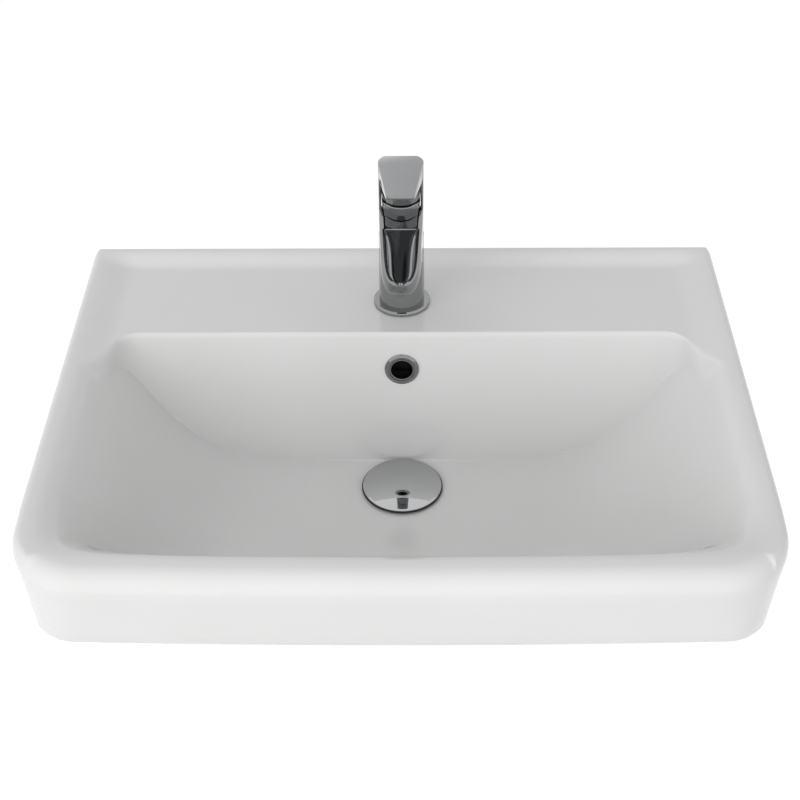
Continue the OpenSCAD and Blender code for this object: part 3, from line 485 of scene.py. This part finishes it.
# The whole skin: inner face, rounded rim, drafted apron, foot, and an underside at half the lines.
def basinShell(v):
    half, depth, wall, foot = v["width"] / 2, v["depth"], v["wall"], v["footRound"]
    rim, lip, frontRim, extra = v["rimRound"], v["lipRound"], v["frontRound"], v["backExtra"]
    nx, ny = v["linesAcross"], v["linesDeep"]
    lowX, lowY = (nx + 1) // 2, (ny + 1) // 2
    topX, topY = basinGrid(rim, lip, frontRim, 0, nx, ny, v)
    x, y = basinOutline(topX, topY, 0, v, v["frontCorner"])
    top = np.stack([x, y, innerHeight(x, y, 0, v)], -1)
    i, j = gridBorder(nx, ny)
    borderX, borderY = topX[j, i], topY[j, i]

    # One line round the outside, moved in at the side, back and front. Share tells how far down the
    # rim's rounding it lies; where that is None, lift is its height above the apron's lower edge.
    def ring(side, back, front, lift, share):
        x = borderX * (half - side) / (half - rim)
        y = -back + (borderY + lip) * (depth - front - back) / (depth - frontRim - lip)
        x, y = basinOutline(x, y, 0, v, v["frontCorner"] if share is not None else v["footCorner"])
        flange = 1 - ramp(-y, rim, v["flangeFade"])
        edge = v["apronHeight"] + (v["flangeHeight"] - v["apronHeight"]) * flange
        forwards = ramp(-y, depth - v["frontRoundFrom"], depth - v["frontRoundFull"])
        bend = rim + (frontRim - rim) * forwards
        drop = edge - lift if share is None else bend * share
        low = np.maximum(drop - bend, 0) / (v["apronHeight"] - bend)
        return np.stack([x * (1 - v["sideDraft"] / half * low),
            y * (1 - v["frontDraft"] / depth * low), -drop], -1)

    rings = []
    for a in np.linspace(0, pi / 2, v["rimLines"])[1:]:
        rings.append(ring(*(np.array([rim, lip, frontRim]) * (1 - sin(a))), 0, 1 - cos(a)))
    edge, straight = rings[-1], ring(0, 0, 0, foot, None)
    rings += [edge + (straight - edge) * t for t in np.linspace(0, 1, v["apronLines"])[1:]]
    for a in np.linspace(0, pi / 2, v["footLines"])[1:]:
        s = foot * (1 - cos(a))
        rings.append(ring(s, s, s, foot * (1 - sin(a)), None))
    for a in np.linspace(0, pi / 2, v["footLines"]):
        s = wall - foot * (1 - sin(a))
        rings.append(ring(s, s + extra, s, foot * (1 - cos(a)), None))
    lowGridX, lowGridY = basinGrid(wall, wall + extra, wall, wall, lowX, lowY, v)
    x, y = basinOutline(lowGridX, lowGridY, wall, v, v["frontCorner"])
    low = np.stack([x, y, innerHeight(x, y, wall, v) - wall], -1)

    n = len(i)
    ids = np.arange(nx * ny).reshape(ny, nx)
    faces = [np.stack([ids[:-1, :-1], ids[1:, :-1], ids[1:, 1:], ids[:-1, 1:]], -1).reshape(-1, 4)]
    loops = [ids[j, i]] + [nx * ny + k * n + np.arange(n) for k in range(len(rings))]
    for a, b in zip(loops[:-1], loops[1:]):
        faces.append(np.stack([a, np.roll(a, -1), np.roll(b, -1), b], -1))
    ids = nx * ny + n * len(rings) + np.arange(lowX * lowY).reshape(lowY, lowX)
    quads = np.stack([ids[:-1, :-1], ids[:-1, 1:], ids[1:, 1:], ids[1:, :-1]], -1)
    faces.append(quads.reshape(-1, 4))
    i, j = gridBorder(lowX, lowY)
    inner, outer = ids[j, i], loops[-1]
    even, odd = outer[0::2], outer[1::2]
    nextEven, nextInner = np.roll(even, -1), np.roll(inner, -1)
    faces.append(np.concatenate([np.stack(t, -1) for t in ((even, odd, inner),
        (odd, nextInner, inner), (odd, nextEven, nextInner))]))
    points = np.concatenate([top.reshape(-1, 3), *rings, low.reshape(-1, 3)])
    return points + [0, 0, v["rimHeight"]], faces


# Outline points under the back wall, in shares of its run, and under the floor up to endY, a given
# depth into the ceramic.
def underBowl(grow, endY, v):
    run = (v["bowlDepth"] - v["shelfDrop"]) * v["wallLean"]
    shares = np.array([0.25, 0.4, 0.6, 0.8, 0.9, 0.97, 1.05, 1.2, 1.6, 2.2])
    y = np.append(-(v["shelfDepth"] - grow + shares * run), endY)
    return np.stack([y, innerHeight(0 * y, y, grow, v) - grow + v["rimHeight"]], -1)


# The overflow's middle on the back wall, and that wall's lean in degrees.
def overflowPlace(v):
    y = -(v["shelfDepth"] + v["wallLean"] * (v["overflowDrop"] - v["shelfDrop"]))
    return (0, y, v["rimHeight"] - v["overflowDrop"]), atan(v["wallLean"]) * 180 / pi


# The skin with a duct and bosses under it, cut by the overflow's channel, the holes and their
# seats. Cutters run past the skin, by over or more.
def makeBasin(v, over=1):
    rim, wall = v["rimHeight"], v["wall"]
    # shade is the duct's painted shade, put on the overflow's channel, chamber and hole.
    glaze, bare, shade = finish["glazeWhite"], finish["bisqueBare"], finish["ductPaintedShade"]
    points, faces = basinShell(v)
    shell = newPiece("basinCeramic", points, faces, glaze)
    seat = rim - v["bowlDepth"] - v["seatRecess"]
    boss = seat - v["bossHeight"]
    wasteY, deck = -v["wasteBack"], rim - v["shelfDrop"]
    tap, waste = (0, -tapBack, 0), (0, wasteY, 0)
    deckLow, deckMiddle = deck - v["deckThick"], deck - wall / 2
    overflow, lean = overflowPlace(v)
    overflowZ, turn = overflow[2], 90 - lean
    back, step = -v["ductBack"], -v["ductBack"] - v["ductStep"]
    wide, edge = v["bossRadius"], v["bossEdge"]
    duct = np.concatenate([[[back, overflowZ + v["ductTop"]]], underBowl(wall / 2, wasteY, v),
        [[wasteY, boss], [step, boss], [back, boss + v["ductHeel"]]]])
    combine(shell, [
        prism("duct", duct, -v["ductWidth"] / 2, v["ductWidth"] / 2, "x", glaze),
        lathe("wasteBoss", [[0, boss], [wide - edge, boss], [wide, boss + edge],
            [wide, seat - over], [0, seat - over]], waste, 128, material=glaze, closed=False),
        lathe("tapBoss", [[0, deckLow], [v["tapBossRadius"], deckLow],
            [v["tapBossRadius"], deckMiddle], [0, deckMiddle]], tap, 128, material=glaze,
            closed=False)], "UNION")
    back, near, floor = back - v["ductWall"], wasteY + v["channelShort"], boss + wall + over
    channel = np.concatenate([[[back, overflowZ + v["channelTop"]]],
        underBowl(wall - over, near, v),
        [[near, floor], [step, floor], [back, floor + v["channelHeel"]]]])

    def bar(name, r, low, high, at, lean=0, paint=bare, steps=128):
        return lathe(name, [[0, low], [r, low], [r, high], [0, high]], at, steps, lean, paint, False)

    hole, chamberTop = v["wasteHole"] / 2, seat - wall
    chamber = [[hole - over, floor], [hole + v["chamberRoom"], floor],
        [hole + v["chamberRoom"], chamberTop], [hole - over, chamberTop]]
    cutters = [
        prism("channel", channel, -v["channelWidth"] / 2, v["channelWidth"] / 2, "x", shade),
        lathe("chamber", chamber, waste, 96, material=shade),
        bar("wasteHole", hole, boss - over, boss + v["bossHeight"] + 20, waste),
        bar("wasteSeat", v["seatRadius"], seat, seat + 20, waste, paint=glaze),
        bar("tapHole", v["tapHole"] / 2, deckLow - over, deck + 4, tap),
        bar("overflowHole", v["overflowHole"] / 2, *v["overflowReach"], overflow, turn, shade, 96),
        bar("overflowRecess", v["overflowRecess"], 0, v["recessReach"], overflow, turn, glaze, 96)]
    for side in (-1, 1):
        bolt = (side * v["boltGap"] / 2, 0, 0)
        cutters.append(bar("boltHole", v["boltHole"] / 2, -over, wall + 5, bolt, 90, bare, 64))
    combine(shell, cutters, "DIFFERENCE")
    smoothFaces(shell, 42)
    return finishPiece(shell, "root", "glaze", "basin_ceramic")


makeBasin(basin)

overflowCollar = dict(bore=10, outer=15.8, tube=1.0, depth=12, stand=2.5, lift=0.3,
    slantWidth=2.2, slantDrop=1.2, groove=(11.0, 12.1), grooveLow=1.0, lip=2.1,
    rounds=(0.2, 0.2, 0, 0.2, 0.8, 0.8, 0.3, 0.2, 0.2, 0.4, 0.4))


# A tube in the ceramic with a flange on it, whose face has a fine groove round the bore.
def makeOverflowCollar(v, b):
    at, lean = overflowPlace(b)
    bore, tube, outer, stand = v["bore"], v["bore"] + v["tube"], v["outer"], v["stand"]
    near, far = v["groove"]
    profile = rounded([[bore, -v["depth"]], [tube, -v["depth"]], [tube, v["lift"]],
        [outer, v["lift"]], [outer, stand - v["slantDrop"]], [outer - v["slantWidth"], stand],
        [far, stand], [far, v["grooveLow"]], [near, v["grooveLow"]], [near, v["lip"]],
        [bore, v["lip"]]], v["rounds"], 6)
    # The collar gets the chrome with painted shade.
    collar = lathe("overflowCollar", profile, at, 144, 90 - lean, finish["chromeWithPaintedShade"])
    return smoothFaces(collar, 50)


finishPiece(makeOverflowCollar(overflowCollar, basin), "root", "chrome", "overflow_ring")

plugDome = dict(radius=37, rise=4.7, edge=1.8, gap=1.0, flangeLift=3.7, bossRadius=6.5,
    bossDepth=3.9, bossEdge=0.4, bore=3.05, boreTop=2.6, boreCone=1.2, edgeRound=0.9,
    edgeTurn=0.2, domeInset=0.5, lowEdge=((1.2, 0), (0.3, 0.25), (0, 0.7)))


# A shallow dome: a sphere's cap over a thin rolled edge, with a bored boss below. The sphere's
# radius is (radius^2 + rise^2) / (2 rise).
def makePlugDome(v, b):
    low = b["rimHeight"] - b["bowlDepth"] - b["seatRecess"] + v["flangeLift"] + v["gap"]
    radius, roll, boss, depth = v["radius"], v["edgeRound"], v["bossRadius"], v["bossDepth"]
    ball = (radius ** 2 + v["rise"] ** 2) / 2 / v["rise"]
    a = np.linspace(asin(radius / ball), 0, 40)
    dome = np.stack([ball * np.sin(a), v["edge"] + v["rise"] - ball * (1 - np.cos(a))], -1)
    dome = dome[dome[:, 0] < radius - v["domeInset"]]
    turn = np.linspace(0, pi / 2 - v["edgeTurn"], 8)
    rim = np.stack([radius - roll + roll * np.cos(turn), v["edge"] - roll + roll * np.sin(turn)], -1)
    under = [[0, v["boreTop"]], [v["bore"], v["boreTop"] - v["boreCone"]], [v["bore"], -depth],
        [boss - v["bossEdge"], -depth], [boss, -depth + v["bossEdge"]], [boss, 0]]
    under += [[radius - inset, height] for inset, height in v["lowEdge"]]
    profile = np.concatenate([under, rim, dome[1:] if dome[0, 0] > rim[-1, 0] else dome])
    profile[:, 1] += low
    profile[-1, 0] = 0
    # The dome gets the lighter chrome copy, which is painted light.
    return smoothFaces(lathe("plugDome", profile, (0, -b["wasteBack"], 0), 160,
        material=finish["chromeWithPaintedLight"], closed=False), 40)


finishPiece(makePlugDome(plugDome, basin), "plug", "chrome", "plug_cap")

# The first line gives the body, the next the spout's plan and its section, then come the channel,
# the fittings held inside, and the water's ways. The inlets' shift is sideways and backwards.
mixer = dict(bodyWidth=42, topWidth=40.4, height=104, ringHeight=4.3, spigot=16.4, spigotLength=8,
    bodyRounds=(0.4, 0, 0, 0.6),
    reach=104.5, lip=88, taper=0.04, power=9, flatTo=17.2, tip=5, tipFrom=96, faceDrop=12.5,
    spoutInset=0.2, topInset=0.03, undersideAt=(0, 26, 40, 60, 75, 78, 97),
    undersideDrop=(27, 16.5, 10, 4.5, 1, 0, 0), underRound=4.0, underShares=(0.6, 0.4),
    edgeRound=0.45, edgeShare=0.2, planeFront=30, planeInset=0.06, planeHeight=9,
    channelFrom=34, channelTo=100, channelHalf=13.3, channelTaper=0.05, channelPower=8, scoop=3.2,
    scoopSpread=0.8, scoopPower=6, step=0.8, stepFrom=0.3, channelOpening=0.2,
    linesAlong=121, lineSpread=0.9, tipGap=0.02, linesAcross=41,
    cartridge=30, nut=17, nutHeight=6, cartridgeHeight=32, aeratorWidth=16.4, aeratorReach=86,
    outletLow=2, outletDepth=10.5, inlet=10, inletShift=(1, 0.5), inletDepth=29,
    portX=7, portY=3.5, port=2.6, portLow=15, portSeat=1.8, portSeatDrop=0.8,
    wayRadius=2.5, wayStart=12, wayEnd=8.5, wayDrop=2.4, wayBack=2, stud=4, studY=-9, studDepth=23,
    loose=0.1)
tapPlace = (0, -tapBack, basin["rimHeight"] - basin["shelfDrop"])


# Half width of the tongue at a distance q in front of the axis: a straight taper times a
# superellipse, (half - taper q) (1 - u^power)^0.5.
def tongueHalf(q, start, reach, half, taper, power):
    u = np.clip((q - start) / (reach - start), 0, 1)
    return np.maximum((half - taper * (q - start)) * np.sqrt(1 - u ** power), 0)


# Closed cross-sections carried from the axis to the tip: a scooped top between two flat bands,
# straight sides, and a rounded underside that rises towards the outlet.
def spoutLoft(v):
    reach, start, flatTo = v["reach"], v["channelFrom"], v["flatTo"]
    t = np.linspace(0, 1, v["linesAlong"])
    q = reach * np.sin(t * pi / 2) ** v["lineSpread"]
    q[-1] = reach - v["tipGap"]
    q = np.sort(np.concatenate([q[(np.abs(q - start) > 0.6) & (np.abs(q - flatTo) > 0.4)],
        start + np.array([-0.15, 0.15, 0.5]), [flatTo]]))
    wide = tongueHalf(q, 0, reach, v["topWidth"] / 2 - v["spoutInset"], v["taper"], v["power"])
    inner = tongueHalf(np.maximum(q, start), start, v["channelTo"], v["channelHalf"],
        v["channelTaper"], v["channelPower"])
    fall = (v["height"] - v["lip"]) / (reach - flatTo)
    top = v["height"] - fall * np.maximum(q - flatTo, 0) - v["topInset"]
    face = v["lip"] - v["faceDrop"]
    low = np.interp(q, v["undersideAt"], face - np.array(v["undersideDrop"]))
    end = np.clip((q - v["tipFrom"]) / (reach - v["tipFrom"]), 0, 1) ** 2
    low = np.where(q > v["tipFrom"], face + (v["lip"] - v["tip"] - face) * end, low)
    u = np.clip((q - start) / (v["channelTo"] - start), 0, 1)
    deep = v["scoop"] * np.sin(pi * u ** v["scoopSpread"])
    opened = ramp(q, start - v["channelOpening"], start + v["channelOpening"])
    s = np.sin(np.linspace(-1, 1, v["linesAcross"]) * pi / 2)
    channelX = inner[:, None] * s[None, :]
    curve = (1 - np.abs(s) ** v["scoopPower"])[None, :]
    sunk = v["step"] * (inner[:, None] > v["stepFrom"]) + deep[:, None] * curve
    channelZ = top[:, None] - opened[:, None] * sunk
    shareWide, shareHigh = v["underShares"]
    corner = np.minimum(v["underRound"], np.minimum(wide * shareWide, (top - low) * shareHigh))
    a = np.linspace(0, pi / 2, 9)
    rightX = wide[:, None] - corner[:, None] * (1 - np.cos(a))[None, :]
    rightZ = low[:, None] + corner[:, None] * (1 - np.sin(a))[None, :]
    small = np.minimum(v["edgeRound"], wide * v["edgeShare"])
    edgeX = np.stack([wide - small, wide - small * 0.3, wide], -1)
    edgeZ = np.stack([top, top - small * 0.3, top - small], -1)
    bandX = np.stack([inner, inner + small * 0.35, inner + small], -1)
    bandX = np.minimum(bandX, wide[:, None] * 0.98)
    bandZ = np.stack([top - opened * small, top - opened * small * 0.3, top], -1)
    loopX = np.concatenate([channelX, bandX, edgeX, rightX, -rightX[:, ::-1], -edgeX[:, ::-1],
        -bandX[:, ::-1]], 1)
    loopZ = np.concatenate([channelZ, bandZ, edgeZ, rightZ, rightZ[:, ::-1], edgeZ[:, ::-1],
        bandZ[:, ::-1]], 1)
    loopY = np.broadcast_to(-q[:, None], loopX.shape)
    points = np.stack([loopX, loopY, loopZ], -1)
    m, n = loopX.shape
    ids = np.arange(m * n).reshape(m, n)
    after = np.roll(ids, -1, 1)
    sides = np.stack([ids[:-1], ids[1:], after[1:], after[:-1]], -1).reshape(-1, 4)
    # The spout gets the chrome with painted shade.
    return newPiece("spout", points.reshape(-1, 3), [sides, [ids[0][::-1]], [ids[-1]]],
        finish["chromeWithPaintedShade"], merge=0.002)


# The turned body with its top cut flat in front, the spout, and the bores inside both. Cutters run
# out of the body by over.
def makeMixer(v, over=1):
    # chrome is the chrome with painted shade.
    chrome, brass, loose = finish["chromeWithPaintedShade"], finish["brassRaw"], v["loose"]
    half, top, foot, height = v["bodyWidth"] / 2, v["topWidth"] / 2, -v["spigotLength"], v["height"]
    side = rounded([[v["spigot"], foot], [v["spigot"], v["ringHeight"]], [half, v["ringHeight"]],
        [top, height]], v["bodyRounds"], 5)
    body = lathe("mixerCasting", np.concatenate([[[0, foot]], side, [[0, height]]]), steps=192,
        material=chrome, closed=False)
    fall = (height - v["lip"]) / (v["reach"] - v["flatTo"])
    front, under, flatTo = v["planeFront"], height - v["planeInset"], v["flatTo"]
    high = under + v["planeHeight"]
    plane = [[-flatTo, under], [-front, under - (front - flatTo) * fall], [-front, high],
        [-flatTo, high]]
    combine(body, [prism("topPlane", plane, -front, front, "x", chrome)], "DIFFERENCE")
    combine(body, [spoutLoft(v)], "UNION")
    cartTop = height - v["nutHeight"]
    cartLow = cartTop - v["cartridgeHeight"]
    face = v["lip"] - v["faceDrop"]
    up, r, reach = (0, 0, 1), v["cartridge"] / 2, v["aeratorReach"]
    wayFrom, portY = cartLow + v["wayStart"], v["portY"]
    cutters = [
        rod("cartridgeBore", (0, 0, cartLow), up, r + loose, v["cartridgeHeight"] + over, 96, brass),
        rod("nutBore", (0, 0, cartTop), up, v["nut"] + loose, v["nutHeight"] + over, 128, chrome),
        rod("studHole", (0, v["studY"], foot - over), up, v["stud"] + loose, v["studDepth"], 48,
            brass),
        rod("outletBore", (0, -reach, face - v["outletLow"]), up, v["aeratorWidth"] / 2 + loose,
            v["outletDepth"], 96, chrome)]
    rise = atan((face + v["wayEnd"] - v["wayDrop"] - cartLow - v["wayStart"]) / (reach - r))
    cutters.append(rod("waterWay", (0, -r + v["wayBack"], wayFrom), (0, -cos(rise), sin(rise)),
        v["wayRadius"], reach - r + v["wayBack"], 32, brass))
    for side in (-1, 1):
        inlet = (side * (v["portX"] + v["inletShift"][0]), portY + v["inletShift"][1], foot - over)
        port = side * v["portX"]
        cutters += [rod("inlet", inlet, up, v["inlet"] / 2, v["inletDepth"], 48, brass),
            rod("port", (port, portY, v["portLow"]), up, v["port"], cartLow, 32, brass),
            rod("portSeat", (port, portY, cartLow - v["portSeatDrop"]), up,
                v["port"] + v["portSeat"], v["portSeat"], 32, brass)]
    combine(body, cutters, "DIFFERENCE")
    place(body, tapPlace)
    smoothFaces(body, 38)
    return finishPiece(body, "root", "chrome", "mixer_body")


makeMixer(mixer)

# The plate and its tip, the skirt with the room under it, and the stem's clamp.
lever = dict(backHeight=42.6, backEdge=14, backLip=0.5, reach=72, rise=6.8, plateBack=2,
    plateInset=0.2, tipWidth=24, tipThick=3, tipRound=3, tilt=25,
    skirtInset=0.1, skirtLift=1.5, cover=17.2, coverHeight=8, coverRoom=2, bossInset=0.6,
    bossOver=0.4, groove=8, grooveRoom=1, grooveTop=30.5, grooveOver=0.5, throatRise=1.5,
    backDrop=8.5, cheek=5, softEdge=0.4,
    stem=8, stemTop=23, screwLift=19, screw=2.5, plug=3.5, plugDepth=3, loose=0.1)


# A plate that rises towards its tip, a round skirt at the back and a boss that turns in it. The
# blocks it is cut from and with run out of it by over, or are so tall and broad.
def makeLever(v, m, over=1, tall=60, broad=25):
    # chrome is the chrome with painted shade.
    chrome, brass, base = finish["chromeWithPaintedShade"], finish["brassRaw"], m["height"]
    up, back, loose = (0, 0, 1), (0, 1, 0), v["loose"]
    skirt = m["topWidth"] / 2 - v["skirtInset"]
    inner, boss = v["cover"] + v["grooveRoom"], v["cover"] - v["bossInset"]
    low, bossLow = base + v["skirtLift"], base + v["coverHeight"] + v["coverRoom"]
    grooveTop, cheek = base + v["grooveTop"], v["cheek"]
    rear, end = skirt + over, -v["reach"] - over
    slope, tilt = tan(radians(v["rise"])), tan(radians(v["tilt"]))

    def plateTop(y):
        return base + v["backHeight"] + (v["backEdge"] - y) * slope

    tip, wide = v["tipWidth"] / 2, skirt - v["plateInset"]
    outline = rounded([[wide, v["plateBack"]], [-wide, v["plateBack"]], [-tip, -v["reach"]],
        [tip, -v["reach"]]], [0, 0, v["tipRound"], v["tipRound"]], 10)
    handle = prism("leverHandle", outline, base, base + tall, material=chrome)
    combine(handle, [rod("skirt", (0, 0, base), up, skirt, tall, 144, chrome)], "UNION")
    side = [[v["backEdge"], plateTop(v["backEdge"])], [end, plateTop(end)],
        [end, plateTop(-v["reach"]) - v["tipThick"]], [-boss, grooveTop + v["throatRise"]],
        [-boss, grooveTop], [-cheek, grooveTop], [-cheek, low], [0, low], [rear, low + rear * tilt],
        [rear, grooveTop - v["backDrop"]], [v["backEdge"], plateTop(v["backEdge"]) - v["backLip"]]]
    combine(handle, [prism("sideView", side, -broad, broad, "x", chrome)], "INTERSECT")
    combine(handle, [rod("boss", (0, 0, bossLow), up, boss + v["bossOver"], grooveTop + 2 - bossLow,
        128, chrome)], "UNION")
    grooveHigh = grooveTop + v["grooveOver"]
    groove = lathe("groove", [[boss, base], [inner, base], [inner, grooveHigh], [boss, grooveHigh]],
        steps=144, material=chrome)
    combine(groove, [prism("frontHalf", [[-50, -50], [50, -50], [50, v["groove"]],
        [-50, v["groove"]]], base - over, base + tall, material=chrome)], "INTERSECT")
    room = rod("room", (0, 0, base), up, inner, 20, 144, chrome)
    combine(room, [prism("tiltRoom", [[-skirt, base - over], [-skirt, bossLow], [0, bossLow],
        [skirt, bossLow + skirt * tilt], [skirt, base - over]], -broad, broad, "x", chrome)],
        "INTERSECT")
    half, screwZ = v["stem"] / 2 + loose, base + v["screwLift"]
    square = [[-half, -half], [half, -half], [half, half], [-half, half]]
    combine(handle, [groove, room,
        prism("stemPocket", square, base, base + v["stemTop"] + loose, material=brass),
        rod("screwHole", (0, 0, screwZ), back, v["screw"] + loose, skirt + 5, 48, brass),
        rod("plugHole", (0, skirt - v["plugDepth"], screwZ), back, v["plug"] + loose, 6, 64,
            chrome)], "DIFFERENCE")
    place(handle, tapPlace)
    softenEdges(handle, v["softEdge"])
    return finishPiece(handle, "lever", "chrome", "lever_handle")


makeLever(lever, mixer)

# Each panel's turn from the front and height in degrees, and its share of the power.
studio = dict(aim=(0, -0.22, 0.05), far=3.0, size=2.0, power=40, sky=0.473, backdrop=1.0,
    floorHeight=-0.8, floorHalf=8.0, floorColour=0.5, floorGlow=0.72, floorRough=0.9, floorShine=0.1,
    panels=[(-45, 12, 0.597), (-45, 42, 0.299), (0, 12, 0.579), (0, 42, 0.022), (45, 12, 0.219),
        (-135, 42, 0.129), (-135, 12, 0.037), (135, 12, 0.013)])


def makeLights(v):
    for k, (turn, height, share) in enumerate(v["panels"]):
        a, e = radians(turn), radians(height)
        away = Vector((sin(a) * cos(e), -cos(a) * cos(e), sin(e))) * v["far"]
        data = bpy.data.lights.new(f"softPanel{k}", "AREA")
        data.shape = "SQUARE"
        data.size = v["size"]
        data.energy = v["power"] * share
        lamp = bpy.data.objects.new(data.name, data)
        lamp.visible_glossy = False
        bpy.context.scene.collection.objects.link(lamp)
        lamp.location = Vector(v["aim"]) + away
        lamp.rotation_euler = (-away).to_track_quat("-Z", "Y").to_euler()


# 1 for rays from the camera, off metal or through glass; these see the pale background.
def seenDirectly(tree):
    path = addNode(tree, "ShaderNodeLightPath")
    first = addNode(tree, "ShaderNodeMath", operation="MAXIMUM")
    both = addNode(tree, "ShaderNodeMath", operation="MAXIMUM")
    tree.links.new(path.outputs["Is Camera Ray"], first.inputs[0])
    tree.links.new(path.outputs["Is Glossy Ray"], first.inputs[1])
    tree.links.new(first.outputs[0], both.inputs[0])
    tree.links.new(path.outputs["Is Transmission Ray"], both.inputs[1])
    return both.outputs[0]


def makeSky(v):
    world = bpy.data.worlds.new("paleStudio")
    bpy.context.scene.world = world
    world.use_nodes = True
    tree = world.node_tree
    sky = tree.nodes["Background"]
    sky.inputs["Color"].default_value = (1, 1, 1, 1)
    strength = addNode(tree, "ShaderNodeMix", data_type="FLOAT", A=v["sky"], B=v["backdrop"])
    tree.links.new(seenDirectly(tree), strength.inputs["Factor"])
    tree.links.new(strength.outputs["Result"], sky.inputs["Strength"])


def makeFloor(v):
    half, z = v["floorHalf"], v["floorHeight"]
    data = bpy.data.meshes.new("floor")
    data.from_pydata([(-half, -half, z), (half, -half, z), (half, half, z), (-half, half, z)], [],
        [(0, 1, 2, 3)])
    floor = bpy.data.objects.new("floor", data)
    bpy.context.scene.collection.objects.link(floor)
    paint = bpy.data.materials.new("paleFloor")
    paint.use_nodes = True
    tree = paint.node_tree
    shader, out = tree.nodes["Principled BSDF"], tree.nodes["Material Output"]
    shader.inputs["Base Color"].default_value = (v["floorColour"],) * 3 + (1,)
    shader.inputs["Roughness"].default_value = v["floorRough"]
    shader.inputs["Specular IOR Level"].default_value = v["floorShine"]
    glow = addNode(tree, "ShaderNodeEmission")
    strength = addNode(tree, "ShaderNodeMath", operation="MULTIPLY")
    strength.inputs[1].default_value = v["floorGlow"]
    add = addNode(tree, "ShaderNodeAddShader")
    tree.links.new(seenDirectly(tree), strength.inputs[0])
    tree.links.new(strength.outputs[0], glow.inputs["Strength"])
    tree.links.new(shader.outputs[0], add.inputs[0])
    tree.links.new(glow.outputs[0], add.inputs[1])
    tree.links.new(add.outputs[0], out.inputs["Surface"])
    data.materials.append(paint)


makeLights(studio)
makeSky(studio)
makeFloor(studio)
bpy.context.scene.view_settings.view_transform = "Standard"
print("studio made")
